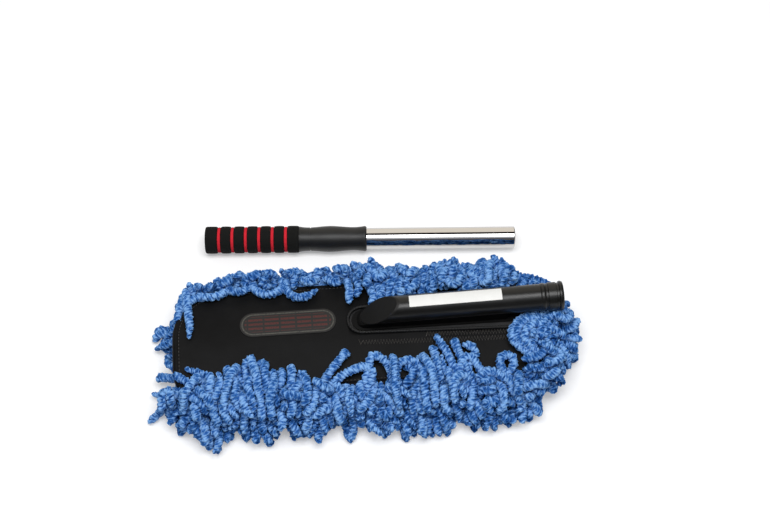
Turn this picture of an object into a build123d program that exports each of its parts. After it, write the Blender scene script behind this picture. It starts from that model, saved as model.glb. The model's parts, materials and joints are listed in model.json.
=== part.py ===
"""Fringed duster head with a slip-off cover, and its telescopic twist-lock handle lying behind it.

Millimetres, +Z up, standing on the floor at z = 0. X runs along the head, from the closed nose
of the cover to the mouth of the handle socket, and y = 0 is the socket's line until the end,
where everything moves so that the origin is the middle of the whole thing's footprint.
"""
import os
from math import cos, radians, sin, tan

from build123d import *

# --- Frame: arched, ribbed plate inside the cover ---
plate_nose_x = -165.0
plate_end_x = 170.0
plate_half_width = 42.0
plate_corner = 36.0
plate_skin = 2.2
plate_rim = 2.0
rib = 1.6
long_ribs = 4
cross_ribs = 11

# --- Cover: a fabric slipper over the frame, open at +X, with its pile of fringe underneath ---
nose_slack = 12.0            # from the frame's outline to the cover's, on each side
end_slack = 10.0
front_slack = 24.0           # most of the cover's slack hangs to the front
back_slack = 4.0
cover_front_corner = 26.0    # corner radii, seen from above: the slack makes the front squarer
cover_back_corner = 52.0
mouth_setback = 8.0          # the top panel stops this far short of the base
pad_top = 44.0               # crown of the cover over the floor
crown_radius = 200.0         # the top is part of a cylinder along X
pile_height = 28.0           # loops under the base, pressed by the head's weight
fabric = 1.5                 # base cloth
padded_fabric = 1.6          # top cloth with its lining
rim_roll = 4.0               # the top's edge rolls down to the side
seam_inset = 5.0             # from the cover's edge to the seam of the top panel
soft_gap = 0.3               # cloth stands this far from the frame that slides out of it

# --- Slot in the cover's top for the socket, with a rolled binding ---
slot_tip_x = -8.5
slot_half_width = 14.0       # at its rounded tip
slot_flare = 1.8             # degrees that each side opens towards the mouth
binding_radius = 1.9

# --- Fringe: loops sewn round the edge, as one solid skirt in four lengths ---
fringe_nose = 27.0           # how far the loops reach past the cover, on each side
fringe_end = 34.0
fringe_front = 46.0
fringe_back = 30.0
fringe_corner = 60.0
fringe_top = 37.0            # where the skirt meets the cover's side
fringe_top_margin = 5.0      # width of the skirt's top

# --- Handle socket: tube with a slanted closed end, on a skirt and a foot ---
socket_bore_radius = 11.1
socket_radius = 12.8
socket_depth = 125.0
socket_length = 197.0        # from the facet's tip to the mouth, along the tube
socket_axis_height = 14.8    # over the cover's crown, at the facet's tip
socket_tilt = 1.9            # degrees that the tube rises towards its mouth
facet_angle = 37.0           # slant of the closed end
facet_softness = 0.6         # radius of its edge
skirt_half_width = 9.5
skirt_end_x = 150.0
foot_half_width = 11.4
foot_nose_x = -5.0
foot_thickness = 1.5
foot_end_x = 158.0
bead_height = 0.7
bead_width = 5.0
band_height = 0.8
band_width = 8.5
lip_height = 1.3
lip_width = 4.2
ring_groove = 2.0            # between the bead, the band and the lip
mouth_chamfer = 0.7

# --- Blank label on the socket, badge patch on the cover ---
label_start = 50.5           # along the tube
label_length = 88.0
label_arc = 58.0             # degrees of the tube that it wraps
label_lean = 3.0             # its middle is this far behind the top
label_thickness = 0.2
label_glue = 0.02
badge_x = -66.0
badge_y = 2.0
badge_length = 92.0
badge_width = 26.0
badge_thickness = 0.5

# --- Handle: outer tube, collar, inner tube with the foam grip, and the lock inside ---
handle_x = -146.3            # free end of the grip
handle_y = 121.5
handle_yaw = 3.57            # degrees clockwise from the head, seen from above
tube_radius = 11.0
tube_wall = 0.8
tube_roll = 1.2              # outer radius that its open end is rolled in to
neck_radius = 10.8           # the tube's end in the collar is drawn down
neck_shown = 0.5             # past the collar
handle_length = 314.0
inner_radius = 9.5
inner_wall = 0.8
running = 0.05               # radial clearance of what slides or turns in a bore
foam_radius = 13.8
foam_shoulder = 0.8
foam_length = 10.5           # each middle segment
foam_first = 12.5
foam_last = 12.0
foam_count = 7
stripe_radius = 12.9
stripe_width = 3.0
collar_length = 68.5
collar_neck = 11.9           # radii along the collar
collar_heel = 12.9
collar_belly = 13.2
collar_waist = 11.8
collar_flare = 12.8
collar_lip = 2.5             # length of its rounded end
collar_groove = 1.2          # width of the ring groove at its neck
collar_groove_depth = 0.5
collar_web = 10.0            # thickness of the collar's end, before the outer tube starts
collar_mouth_gap = 0.3       # round the inner tube
bush_flange = 3.0
bush_length = 20.0
plug_face = 2.2
plug_recess = 0.8            # behind the foam's end
plug_depth = 10.0
plug_wall = 2.0
stud_radius = 3.0
stud_plug = 15.0             # length of the stud's plug, pressed into the inner tube
stud_flange = 2.0
sleeve_length = 18.0
sleeve_gap = 0.2             # between the stud's flange and the sleeve
sleeve_small_radius = 4.6    # ends of the sleeve's tapered hole
sleeve_large_radius = 8.2
sleeve_slots = 4
sleeve_slot_width = 2.0
sleeve_uncut = 3.5           # length of the sleeve that only one slot cuts
cone_length = 12.0
cone_lead = 3.2              # how far the loosened cone stands out of the sleeve
cone_gap = 0.45              # radial gap in the taper, loosened
key_width = 1.5
clip_radius = 5.0
clip_width = 1.2
clip_gap = 0.6
stud_past_clip = 1.0
lock_setback = 4.5           # from the lock's end to the outer tube's open end

# --- What follows from these ---
cover_nose_x = plate_nose_x - nose_slack
cover_end_x = plate_end_x + end_slack
cover_front_y = -plate_half_width - front_slack
cover_back_y = plate_half_width + back_slack
cover_mouth_x = cover_end_x - mouth_setback
way_half_width = plate_half_width + soft_gap
frame_top = pad_top - padded_fabric - soft_gap
frame_bottom = pile_height + fabric + soft_gap
head_mid_x = (cover_nose_x + cover_end_x) / 2
reach = 3 * (cover_end_x - cover_nose_x)
tube_bore = tube_radius - tube_wall
grip_length = foam_first + foam_last + (foam_count - 2) * foam_length + (foam_count - 1) * stripe_width
tube_start = grip_length + collar_web
neck_end = grip_length + collar_length + neck_shown
clip_start = handle_length - lock_setback - clip_width
cone_start = clip_start - clip_gap - cone_length
sleeve_start = cone_start + cone_length - cone_lead - sleeve_length
flange_start = sleeve_start - sleeve_gap - stud_flange

parts = {}


def prism(face, low, high):
    return extrude(Pos(0, 0, low) * face, amount=high - low, dir=(0, 0, 1))


def round_box(x0, x1, y0, y1, radius):
    return Pos((x0 + x1) / 2, (y0 + y1) / 2) * RectangleRounded(x1 - x0, y1 - y0, radius)


def cover_outline(inset):
    """Cover seen from above, inset all round; a negative inset grows it."""
    middle_y = (cover_front_y + cover_back_y) / 2
    box = Pos(head_mid_x, middle_y) * Rectangle(
        cover_end_x - cover_nose_x - 2 * inset,
        cover_back_y - cover_front_y - 2 * inset,
    )
    front_rounded = fillet(box.vertices().group_by(Axis.Y)[0], cover_front_corner - inset)
    return fillet(front_rounded.vertices().group_by(Axis.Y)[-1], cover_back_corner - inset)


def plate_outline(inset):
    return round_box(
        plate_nose_x + inset,
        plate_end_x - inset,
        inset - plate_half_width,
        plate_half_width - inset,
        plate_corner - inset,
    )


def under_crown(top):
    """Everything under the crowned surface whose ridge is at height top."""
    radius = crown_radius - (pad_top - top)
    barrel = Rot(0, 90, 0) * Cylinder(radius, reach)
    return Pos(head_mid_x, 0, pad_top - crown_radius) * barrel


def crowned(face, low, top):
    return prism(face, low, top) & under_crown(top)


def on_socket(shape):
    """From the tube's own frame, with its axis along X, to the head."""
    return Pos(0, 0, pad_top + socket_axis_height) * Rot(0, -socket_tilt, 0) * shape


def on_handle(shape):
    """From the handle's own frame, with its grip end at 0 and its axis along X, to the floor."""
    return Pos(handle_x, handle_y, foam_radius) * Rot(0, 0, -handle_yaw) * shape


def turned(points):
    """Solid of revolution about X from its (x, radius) corners."""
    return revolve(make_face(Polyline(points, close=True)), axis=Axis.X)


def pipe(outer, inner, start, end):
    return turned([(start, inner), (start, outer), (end, outer), (end, inner)])


def rod(radius, start, end):
    return turned([(start, 0), (start, radius), (end, radius), (end, 0)])


# --- The frame and the socket ---
def frame_plate():
    body = crowned(plate_outline(0), frame_bottom, frame_top)
    pockets = crowned(plate_outline(plate_rim), frame_bottom, frame_top - plate_skin)
    length = plate_end_x - plate_nose_x
    middle = (plate_end_x + plate_nose_x) / 2
    for i in range(1, long_ribs + 1):
        y = plate_half_width * (2 * i / (long_ribs + 1) - 1)
        pockets -= Pos(middle, y, frame_top) * Box(length, rib, 2 * frame_top)
    for i in range(1, cross_ribs + 1):
        x = plate_nose_x + length * i / (cross_ribs + 1)
        pockets -= Pos(x, 0, frame_top) * Box(rib, 2 * plate_half_width, 2 * frame_top)
    return body - pockets


def socket_tube():
    """Outside of the tube, solid, with the rings at its mouth."""
    r = socket_radius
    lip = socket_length - lip_width
    band = lip - ring_groove - band_width
    bead = band - ring_groove - bead_width
    soft = 0.25 * ring_groove
    outline = [
        Line((-socket_radius, 0), (-socket_radius, r)),
        Line((-socket_radius, r), (bead, r)),
        ThreePointArc((bead, r), (bead + bead_width / 2, r + bead_height), (bead + bead_width, r)),
        Line((bead + bead_width, r), (band, r)),
        Line((band, r), (band + soft, r + band_height)),
        Line((band + soft, r + band_height), (band + band_width - soft, r + band_height)),
        Line((band + band_width - soft, r + band_height), (band + band_width, r)),
        Line((band + band_width, r), (lip, r)),
        Line((lip, r), (lip + soft, r + lip_height)),
        ThreePointArc(
            (lip + soft, r + lip_height),
            (lip + 0.8 * lip_width, r + 0.85 * lip_height),
            (socket_length, r + 0.3 * lip_height),
        ),
        Line((socket_length, r + 0.3 * lip_height), (socket_length, 0)),
        Line((socket_length, 0), (-socket_radius, 0)),
    ]
    return revolve(make_face(outline), axis=Axis.X)


def socket_bore():
    bottom = socket_length - socket_depth
    mouth = socket_bore_radius + mouth_chamfer
    past = 1.01 * socket_length
    return turned([
        (bottom, 0),
        (bottom, socket_bore_radius),
        (socket_length - mouth_chamfer, socket_bore_radius),
        (socket_length, mouth),
        (past, mouth),
        (past, 0),
    ])


def under_facet(shape):
    """What is left of the socket under its slanted closed end."""
    above = Rot(0, -facet_angle, 0) * Pos(0, 0, reach / 2) * Box(reach, reach, reach)
    return shape - Pos(0, 0, pad_top) * above


def handle_socket():
    body = under_facet(on_socket(socket_tube()))
    facet_rim = body.faces().sort_by(Axis.X)[0].outer_wire().edges()
    return fillet(facet_rim, facet_softness) - on_socket(socket_bore())


def socket_skirt():
    """Saddle under the tube, and the foot that stands on the frame."""
    skirt = prism(
        round_box(0, skirt_end_x, -skirt_half_width, skirt_half_width, 0.98 * skirt_half_width),
        frame_top - plate_skin,
        pad_top + socket_axis_height,
    )
    foot = crowned(
        round_box(foot_nose_x, foot_end_x, -foot_half_width, foot_half_width, 0.98 * foot_half_width),
        frame_top - plate_skin,
        frame_top + foot_thickness,
    )
    return under_facet(skirt) + foot - under_crown(frame_top) - on_socket(socket_tube())


def label():
    under = socket_radius + label_glue
    strip = pipe(under + label_thickness, under, label_start, label_start + label_length)
    wedge_angle = radians(label_arc / 2)
    far = 2 * socket_radius
    wedge = make_face(Polyline(
        (0, 0),
        (far, -far * tan(wedge_angle)),
        (far, far * tan(wedge_angle)),
        close=True,
    ))
    along = Plane(origin=(label_start, 0, 0), x_dir=(0, 0, 1), z_dir=(1, 0, 0))
    keep = extrude(along * wedge, amount=label_length)
    return on_socket(Rot(-label_lean, 0, 0) * (strip & keep))


# --- The cover and its fringe ---
def slot_path():
    """Open U, from the mouth round the tip and back, seen from above."""
    lean = radians(slot_flare)
    centre = slot_tip_x + slot_half_width
    start_x = centre - slot_half_width * sin(lean)
    start_y = slot_half_width * cos(lean)
    mouth_y = start_y + (cover_mouth_x - start_x) * tan(lean)
    return Wire([
        Line((cover_mouth_x, -mouth_y), (start_x, -start_y)),
        ThreePointArc((start_x, -start_y), (slot_tip_x, 0), (start_x, start_y)),
        Line((start_x, start_y), (cover_mouth_x, mouth_y)),
    ])


def slot_binding():
    path = Pos(0, 0, frame_top + soft_gap + binding_radius) * slot_path()
    section = Plane(origin=path @ 0, z_dir=path % 0) * Circle(binding_radius)
    return sweep(section, path=path)


def slot_cut():
    path = slot_path()
    face = make_face(path.edges() + [Line(path @ 1, path @ 0)])
    return prism(face, pile_height, 2 * pad_top)


def way_from(x):
    """What the frame sweeps when it slides out to +X, seen from above."""
    return Pos(x, 0) * Rectangle(reach, 2 * way_half_width, align=(Align.MIN, Align.CENTER))


def cover_shell():
    """Top and side of the cover in one, before its seam, with the way out for the frame."""
    outside = crowned(cover_outline(0), pile_height, pad_top)
    top_edges = [e for e in outside.edges() if e.bounding_box().min.Z > pile_height + 0.1]
    outside = fillet(top_edges, rim_roll)
    inside = crowned(cover_outline(padded_fabric), pile_height, pad_top - padded_fabric)
    way_out = crowned(way_from(head_mid_x), pile_height, pad_top - padded_fabric)
    mouth = prism(way_from(cover_mouth_x), pile_height, 2 * pad_top)
    return outside - inside - way_out - mouth


def top_panel_area():
    return prism(cover_outline(seam_inset), 0, 2 * pad_top)


def cover_base():
    return prism(cover_outline(padded_fabric), pile_height, pile_height + fabric)


def badge_patch():
    shape = round_box(
        badge_x - badge_length / 2,
        badge_x + badge_length / 2,
        badge_y - badge_width / 2,
        badge_y + badge_width / 2,
        0.49 * badge_width,
    )
    return crowned(shape, frame_bottom, pad_top + badge_thickness) - under_crown(pad_top)


def fringe_skirt():
    foot = round_box(
        cover_nose_x - fringe_nose,
        cover_end_x + fringe_end,
        cover_front_y - fringe_front,
        cover_back_y + fringe_back,
        fringe_corner,
    )
    head = Pos(0, 0, fringe_top) * cover_outline(-fringe_top_margin)
    way_out = prism(way_from(head_mid_x), frame_bottom - soft_gap, 2 * fringe_top)
    return loft([foot, head]) - prism(cover_outline(0), 0, 2 * fringe_top) - way_out


def fringe_lengths(skirt):
    """The skirt as four solids: nose and end with their corners, front and back."""
    nose_x = cover_nose_x + cover_back_corner
    end_x = cover_end_x - cover_back_corner
    middle_y = (cover_front_y + cover_back_y) / 2
    side = Rectangle(reach, reach)
    half = Rectangle(end_x - nose_x, reach, align=(Align.MIN, Align.MIN))
    tall = 2 * fringe_top
    return {
        "fringe_nose": skirt & prism(Pos(nose_x - reach / 2, 0) * side, 0, tall),
        "fringe_end": skirt & prism(Pos(end_x + reach / 2, 0) * side, 0, tall),
        "fringe_back": skirt & prism(Pos(nose_x, middle_y) * half, 0, tall),
        "fringe_front": skirt & prism(Pos(nose_x, middle_y - reach) * half, 0, tall),
    }


# --- The handle, in its own frame ---
def foam_segment(start, end):
    ring = pipe(foam_radius, inner_radius, start, end)
    rims = [e for e in ring.edges().filter_by(GeomType.CIRCLE) if e.radius > stripe_radius]
    return chamfer(rims, foam_shoulder)


def collar():
    start = grip_length
    end = grip_length + collar_length
    through = collar_mouth_gap + inner_radius
    outline = [
        Line((start, through), (start, collar_heel)),
        Spline(
            (start, collar_heel),
            (start + 0.15 * collar_length, collar_neck),
            (start + 0.45 * collar_length, collar_belly),
            (start + 0.82 * collar_length, collar_waist),
            (end - collar_lip, collar_flare),
        ),
        ThreePointArc(
            (end - collar_lip, collar_flare),
            (end - 0.3 * collar_lip, collar_flare - 0.12 * collar_lip),
            (end, collar_flare - 0.5 * collar_lip),
        ),
        Line((end, collar_flare - 0.5 * collar_lip), (end, neck_radius)),
        Line((end, neck_radius), (tube_start - bush_flange, neck_radius)),
        Line((tube_start - bush_flange, neck_radius), (tube_start - bush_flange, through)),
        Line((tube_start - bush_flange, through), (start, through)),
    ]
    groove_start = start + 0.16 * collar_length
    groove = pipe(collar_heel, collar_neck - collar_groove_depth, groove_start, groove_start + collar_groove)
    return revolve(make_face(outline), axis=Axis.X) - groove


def outer_tube():
    straight_end = handle_length - tube_roll
    lip = tube_radius - tube_roll
    outline = [
        Polyline(
            (straight_end, tube_bore),
            (tube_start, tube_bore),
            (tube_start, neck_radius),
            (neck_end, neck_radius),
            (neck_end, tube_radius),
            (straight_end, tube_radius),
        ),
        CenterArc((straight_end, lip), tube_roll, 0, 90),
        Line((handle_length, lip), (handle_length - tube_wall, lip)),
        CenterArc((straight_end, lip), tube_roll - tube_wall, 0, 90),
    ]
    return revolve(make_face(outline), axis=Axis.X)


def guide_bush():
    bore = inner_radius + running
    return turned([
        (tube_start - bush_flange, bore),
        (tube_start - bush_flange, neck_radius),
        (tube_start, neck_radius),
        (tube_start, tube_bore),
        (tube_start + bush_length, tube_bore),
        (tube_start + bush_length, bore),
    ])


def end_plug():
    face = plug_recess + plug_face
    stem = inner_radius - inner_wall
    body = rod(inner_radius, plug_recess, face) + rod(stem, face, face + plug_depth)
    return body - rod(stem - plug_wall, face, face + plug_depth)


def lock_stud():
    """Plug in the end of the inner tube, with its flange and threaded stud."""
    return turned([
        (flange_start - stud_plug, 0),
        (flange_start - stud_plug, inner_radius - inner_wall),
        (flange_start, inner_radius - inner_wall),
        (flange_start, inner_radius),
        (flange_start + stud_flange, inner_radius),
        (flange_start + stud_flange, stud_radius),
        (clip_start + clip_width + stud_past_clip, stud_radius),
        (clip_start + clip_width + stud_past_clip, 0),
    ])


def lock_sleeve():
    """Split sleeve that the cone spreads against the outer tube."""
    end = sleeve_start + sleeve_length
    body = turned([
        (sleeve_start, sleeve_small_radius),
        (sleeve_start, tube_bore - running),
        (end, tube_bore - running),
        (end, sleeve_large_radius),
    ])
    for i in range(sleeve_slots):
        start = sleeve_start - 1 if i == 0 else sleeve_start + sleeve_uncut
        cut = Pos(start, 0, 0) * Box(
            reach,
            sleeve_slot_width,
            2 * tube_radius,
            align=(Align.MIN, Align.CENTER, Align.MIN),
        )
        body -= Rot(360 * i / sleeve_slots, 0, 0) * cut
    return body


def lock_cone():
    """Tapered nut on the stud, kept from turning by a key in the sleeve's first slot."""
    slope = (sleeve_large_radius - sleeve_small_radius) / sleeve_length
    end = cone_start + cone_length
    mouth = sleeve_start + sleeve_length
    large = sleeve_large_radius - cone_gap
    small = large - slope * (mouth - cone_start)
    body = turned([
        (cone_start, stud_radius + running),
        (cone_start, small),
        (mouth, large),
        (end, large),
        (end, stud_radius + running),
    ])
    key_height = tube_bore - 4 * running
    key = Pos(cone_start, 0, (small + stud_radius) / 2) * Box(
        cone_length,
        key_width,
        key_height - (small + stud_radius) / 2,
        align=(Align.MIN, Align.CENTER, Align.MIN),
    )
    return body + key


def stop_clip():
    return pipe(clip_radius, stud_radius, clip_start, clip_start + clip_width)


def add(name, shape):
    parts[name] = shape


# --- Every piece, in place ---
binding = slot_binding()
shell = cover_shell() - slot_cut() - binding
add("frame_plate", frame_plate())
add("handle_socket", handle_socket())
add("socket_skirt", socket_skirt())
add("label", label())
add("cover_top", shell & top_panel_area())
add("cover_rim", shell - top_panel_area())
add("cover_base", cover_base())
add("slot_binding", binding)
add("badge_patch", badge_patch())
add("fringe_under", prism(cover_outline(0), 0, pile_height))
for name, length in fringe_lengths(fringe_skirt()).items():
    add(name, length)

add("outer_tube", on_handle(outer_tube()))
add("collar", on_handle(collar()))
add("guide_bush", on_handle(guide_bush()))
add("inner_tube", on_handle(
    pipe(inner_radius, inner_radius - inner_wall, plug_recess + plug_face, flange_start)
))
add("end_plug", on_handle(end_plug()))
place = 0.0
for i in range(1, foam_count + 1):
    segment = {1: foam_first, foam_count: foam_last}.get(i, foam_length)
    add(f"foam_{i}", on_handle(foam_segment(place, place + segment)))
    place += segment
    if i < foam_count:
        add(f"red_ring_{i}", on_handle(pipe(stripe_radius, inner_radius, place, place + stripe_width)))
        place += stripe_width
add("lock_stud", on_handle(lock_stud()))
add("lock_sleeve", on_handle(lock_sleeve()))
add("lock_cone", on_handle(lock_cone()))
add("stop_clip", on_handle(stop_clip()))

# --- The origin goes to the middle of the footprint, on the floor ---
whole = Compound(list(parts.values())).bounding_box()
origin_x = (whole.min.X + whole.max.X) / 2
origin_y = (whole.min.Y + whole.max.Y) / 2
to_origin = Pos(-origin_x, -origin_y, -whole.min.Z)

os.makedirs("parts", exist_ok=True)
for name, shape in parts.items():
    export_step(to_origin * shape, f"parts/{name}.step")
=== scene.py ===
"""Looks of the fringed duster: the head in its cloth cover, the socket on it, and the handle.

Lengths are millimetres in the part's own frame, and MM turns them into metres.
"""

import json
import math

import bmesh
import bpy
import numpy as np
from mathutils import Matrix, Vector, bvhtree, kdtree, noise


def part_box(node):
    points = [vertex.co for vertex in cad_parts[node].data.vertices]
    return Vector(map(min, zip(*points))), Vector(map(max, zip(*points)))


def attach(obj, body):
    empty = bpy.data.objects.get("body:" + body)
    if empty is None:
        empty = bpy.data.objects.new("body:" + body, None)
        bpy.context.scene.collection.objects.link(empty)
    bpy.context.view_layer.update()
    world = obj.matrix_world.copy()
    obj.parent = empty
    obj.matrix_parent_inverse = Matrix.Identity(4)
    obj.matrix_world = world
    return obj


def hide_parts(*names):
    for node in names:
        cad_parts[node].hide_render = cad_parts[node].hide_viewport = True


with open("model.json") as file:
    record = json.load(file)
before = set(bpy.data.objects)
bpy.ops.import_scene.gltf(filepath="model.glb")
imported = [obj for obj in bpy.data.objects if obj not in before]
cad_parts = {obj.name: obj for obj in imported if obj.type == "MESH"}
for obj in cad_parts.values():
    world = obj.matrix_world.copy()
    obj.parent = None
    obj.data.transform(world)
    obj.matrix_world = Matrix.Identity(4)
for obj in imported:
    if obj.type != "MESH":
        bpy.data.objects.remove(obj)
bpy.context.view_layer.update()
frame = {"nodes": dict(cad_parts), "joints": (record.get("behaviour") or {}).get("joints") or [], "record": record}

MM = 0.001
TINY = 1e-6
rng = np.random.default_rng(29)


# ---------------------------------------------------------------- places taken from the frame
def corners(node):
    """Lowest and highest corner of a CAD node, in millimetres."""
    low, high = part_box(node)
    return np.array(low) / MM, np.array(high) / MM


def named(rows, name):
    """The row of that name."""
    return next(row for row in rows if row["name"] == name)


COVER_LOW, COVER_HIGH = corners("fringe_under")
COVER_MIDDLE = (COVER_LOW + COVER_HIGH) / 2
COVER_HALF = (COVER_HIGH - COVER_LOW) / 2
PILE = COVER_HIGH[2]                       # height of the cover's base over the floor
BASE_TOP = corners("cover_base")[1][2]
CROWN = corners("cover_top")[1][2]         # ridge of the cover's top
BINDING_LOW, BINDING_HIGH = corners("slot_binding")
SOCKET = named(frame["record"]["mounts"], "socket_bore")
SOCKET_MIDDLE = np.array(SOCKET["pos_m"]) / MM
SOCKET_AXIS = np.array(SOCKET["axis"])
SOCKET_Y = SOCKET_MIDDLE[1]                # line that the socket and the crown follow
GRIP_TWIST = named(frame["joints"], "grip_twist")
GRIP_END = np.array(GRIP_TWIST["pos_m"]) / MM
HANDLE_AXIS = np.array(GRIP_TWIST["axis"])

FRONT_CORNER = 26.0                        # of the cover, seen from above
BACK_CORNER = 52.0
CROWN_RADIUS = 200.0
LOOP_RADIUS = 4.5                          # half the thickness of a twisted loop


# ---------------------------------------------------------------- camera and light
VIEW_ELEVATION = math.radians(58.0)
VIEW_TURN = math.radians(4.3)              # the head lies turned this far from the camera's level
VIEW_DISTANCE = 1.5
VIEW_TARGET = Vector((0.0295, 0.0854, 0.0))
FOCAL_LENGTH = 68.7


def place_object(name, data):
    made = bpy.data.objects.new(name, data)
    bpy.context.scene.collection.objects.link(made)
    return made


def add_camera():
    level = math.cos(VIEW_ELEVATION)
    look = Vector((
        level * math.sin(VIEW_TURN),
        level * math.cos(VIEW_TURN),
        -math.sin(VIEW_ELEVATION),
    ))
    data = bpy.data.cameras.new("camera")
    data.lens = FOCAL_LENGTH
    camera = place_object("camera", data)
    camera.location = VIEW_TARGET - look * VIEW_DISTANCE
    camera.rotation_euler = look.to_track_quat("-Z", "Y").to_euler()
    bpy.context.scene.camera = camera


def add_softbox(place, aim, size, watts):
    data = bpy.data.lights.new("softbox", "AREA")
    data.shape = "RECTANGLE"
    data.size, data.size_y = size
    data.energy = watts
    lamp = place_object("softbox", data)
    lamp.location = place
    lamp.rotation_euler = (Vector(aim) - Vector(place)).to_track_quat("-Z", "Y").to_euler()


# ---------------------------------------------------------------- material writing
def operator(operation, swapped=False):
    """A Math node as a method of Wire; swapped puts the wire after the other value."""

    def method(wire, *others):
        values = (*others, wire) if swapped else (wire, *others)
        return wire.web.node("ShaderNodeMath", {"operation": operation}, *values)

    return method


class Wire:
    """A node's output, with arithmetic."""

    def __init__(self, web, socket):
        self.web = web
        self.socket = socket

    __add__ = __radd__ = operator("ADD")
    __sub__ = operator("SUBTRACT")
    __rsub__ = operator("SUBTRACT", swapped=True)
    __mul__ = __rmul__ = operator("MULTIPLY")
    __mod__ = operator("FLOORED_MODULO")
    __abs__ = operator("ABSOLUTE")
    least = operator("MINIMUM")
    most = operator("MAXIMUM")
    sine = operator("SINE")
    root = operator("SQRT")
    bearing = operator("ARCTAN2")

    def fade(self, start, end):
        """0 at start, 1 at end and smooth between; start may be above end."""
        spans = (start, end, 0.0, 1.0) if start < end else (end, start, 1.0, 0.0)
        smooth = {"interpolation_type": "SMOOTHSTEP"}
        return self.web.node("ShaderNodeMapRange", smooth, self, *spans)


class Web:
    """A node tree under construction."""

    def __init__(self, tree):
        self.tree = tree

    def node(self, kind, settings, *values, output=0, **named):
        """Adds a node; values fill its sockets in order, and named ones by name."""
        made = self.tree.nodes.new(kind)
        for key, value in settings.items():
            setattr(made, key, value)
        for key, value in [*enumerate(values), *named.items()]:
            if isinstance(value, Wire):
                self.tree.links.new(value.socket, made.inputs[key])
            elif value is not None:
                made.inputs[key].default_value = value
        return Wire(self, made.outputs[output])

    def outputs(self, kind, names, *values):
        """Adds a node and gives the outputs that are named."""
        made = self.node(kind, {}, *values).socket.node
        return [Wire(self, made.outputs[name]) for name in names]

    def place(self):
        return self.node("ShaderNodeTexCoord", {}, output="Object")

    def moved(self, location=(0, 0, 0), turn=(0, 0, 0), scale=(1, 1, 1)):
        return self.node("ShaderNodeMapping", {}, self.place(), location, turn, scale)

    def stretched(self, share, turn=(0, 0, 0)):
        """Places with their first axis shortened, which draws a texture out along it."""
        return self.moved(turn=turn, scale=(share, 1.0, 1.0))

    def attribute(self, name):
        return self.node("ShaderNodeAttribute", {"attribute_name": name}, output="Fac")

    def axes(self, vector):
        return self.outputs("ShaderNodeSeparateXYZ", "XYZ", vector)

    def noise(self, grain, detail=3.0, rough=0.5, vector=None):
        """0 to 1, in grains of about so many millimetres."""
        sizes = {"Scale": 1.0 / (grain * MM), "Detail": detail, "Roughness": rough}
        return self.node("ShaderNodeTexNoise", {}, Vector=vector or self.place(), **sizes)

    def cells(self, grain):
        """Distance from the middle of cells of about so many millimetres, 0 to 1."""
        scale = 1.0 / (grain * MM)
        return self.node("ShaderNodeTexVoronoi", {}, Vector=self.place(), Scale=scale)

    def blend(self, share, first, second):
        """Colour from first to second."""
        colours = [v if isinstance(v, Wire) else (*v, 1.0) for v in (first, second)]
        others = [None] * 5                # the node's sockets for plain numbers and vectors
        kind = {"data_type": "RGBA"}
        return self.node("ShaderNodeMix", kind, share, *others, *colours, output=2)


class Finish(Web):
    """A material: its name, and the constants of its shader by socket."""

    def __init__(self, name, specular=0.5, colour=(0.5, 0.5, 0.5), **constants):
        self.material = bpy.data.materials.new(name)
        self.material.use_nodes = True
        super().__init__(self.material.node_tree)
        self.shader = self.tree.nodes["Principled BSDF"]
        self.shader.inputs["Base Color"].default_value = (*colour, 1.0)
        self.shader.inputs["Specular IOR Level"].default_value = specular
        for socket, value in constants.items():
            self.shader.inputs[socket.replace("_", " ")].default_value = value

    def feed(self, socket, wire):
        self.tree.links.new(wire.socket, self.shader.inputs[socket])

    def colour(self, share, first, second):
        self.feed("Base Color", self.blend(share, first, second))

    def rough(self, wire):
        self.feed("Roughness", wire)

    def bump(self, height, depth, strength=1.0):
        """Feeds the normal; depth is a full step's height, in millimetres."""
        sizes = {"Strength": strength, "Distance": depth * MM}
        self.feed("Normal", self.node("ShaderNodeBump", {}, Height=height, **sizes))


def paint(node, finish):
    """Gives a CAD node's object its finish."""
    slots = frame["nodes"][node].data.materials
    slots.clear()
    slots.append(finish.material)


# ---------------------------------------------------------------- finishes
HANDLE_TURN = (0.0, 0.0, -math.atan2(HANDLE_AXIS[1], HANDLE_AXIS[0]))
FACET_SLANT = math.radians(37.0)           # of the socket's closed end, from level

# The badge, in metres in from its edge or along it.
BADGE_LINE = 0.0009        # half the breadth of the frame's line
BADGE_FRAME = 0.0022
BADGE_FIELD = (0.0042, 0.0048)
STRIPE_PITCH = 0.0046
BAR_PITCH = 0.0155


def waves(wire, length):
    """Sine of a place along an axis; length is the wave's, in millimetres."""
    return (wire * (math.tau / (length * MM))).sine()


def twisted_cotton():
    """Blue yarn, with a painted highlight on the crests of its plies, painted shade between them, and painted
    shade down in the pile.
    """
    f = Finish(
        "twisted_cotton",
        specular=0.0,
        Sheen_Weight=0.35,
        Sheen_Roughness=0.35,
        Sheen_Tint=(0.12, 0.45, 1.0, 1.0),
    )
    fibre = f.noise(0.8, 4.0, 0.65)
    curl = f.noise(1.5, 1.5, 0.5)
    crest_light_and_shade = f.attribute("crest_light_and_shade")
    tone_and_pile_shade = f.attribute("tone_and_pile_shade")
    # depth carries painted light: the crest's painted highlight and shade, fibre and curl, and the random tone
    # with its painted pile shade
    depth = crest_light_and_shade + (fibre - 0.5) * 0.35 + (curl - 0.5) * 0.35 + (tone_and_pile_shade - 0.5) * 0.16
    # painted shade: deep blue between the plies and between the yarns
    shade = f.blend(depth.fade(0.20, 0.68), (0.0005, 0.010, 0.078), (0.031, 0.134, 0.43))
    # painted highlight: pale blue on the crests
    f.colour(depth.fade(0.58, 0.98), shade, (0.25, 0.475, 0.85))
    f.rough(0.95 - fibre * 0.2)
    f.bump(fibre * 0.6 + curl * 0.6, 0.8, 0.8)
    return f


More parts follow.
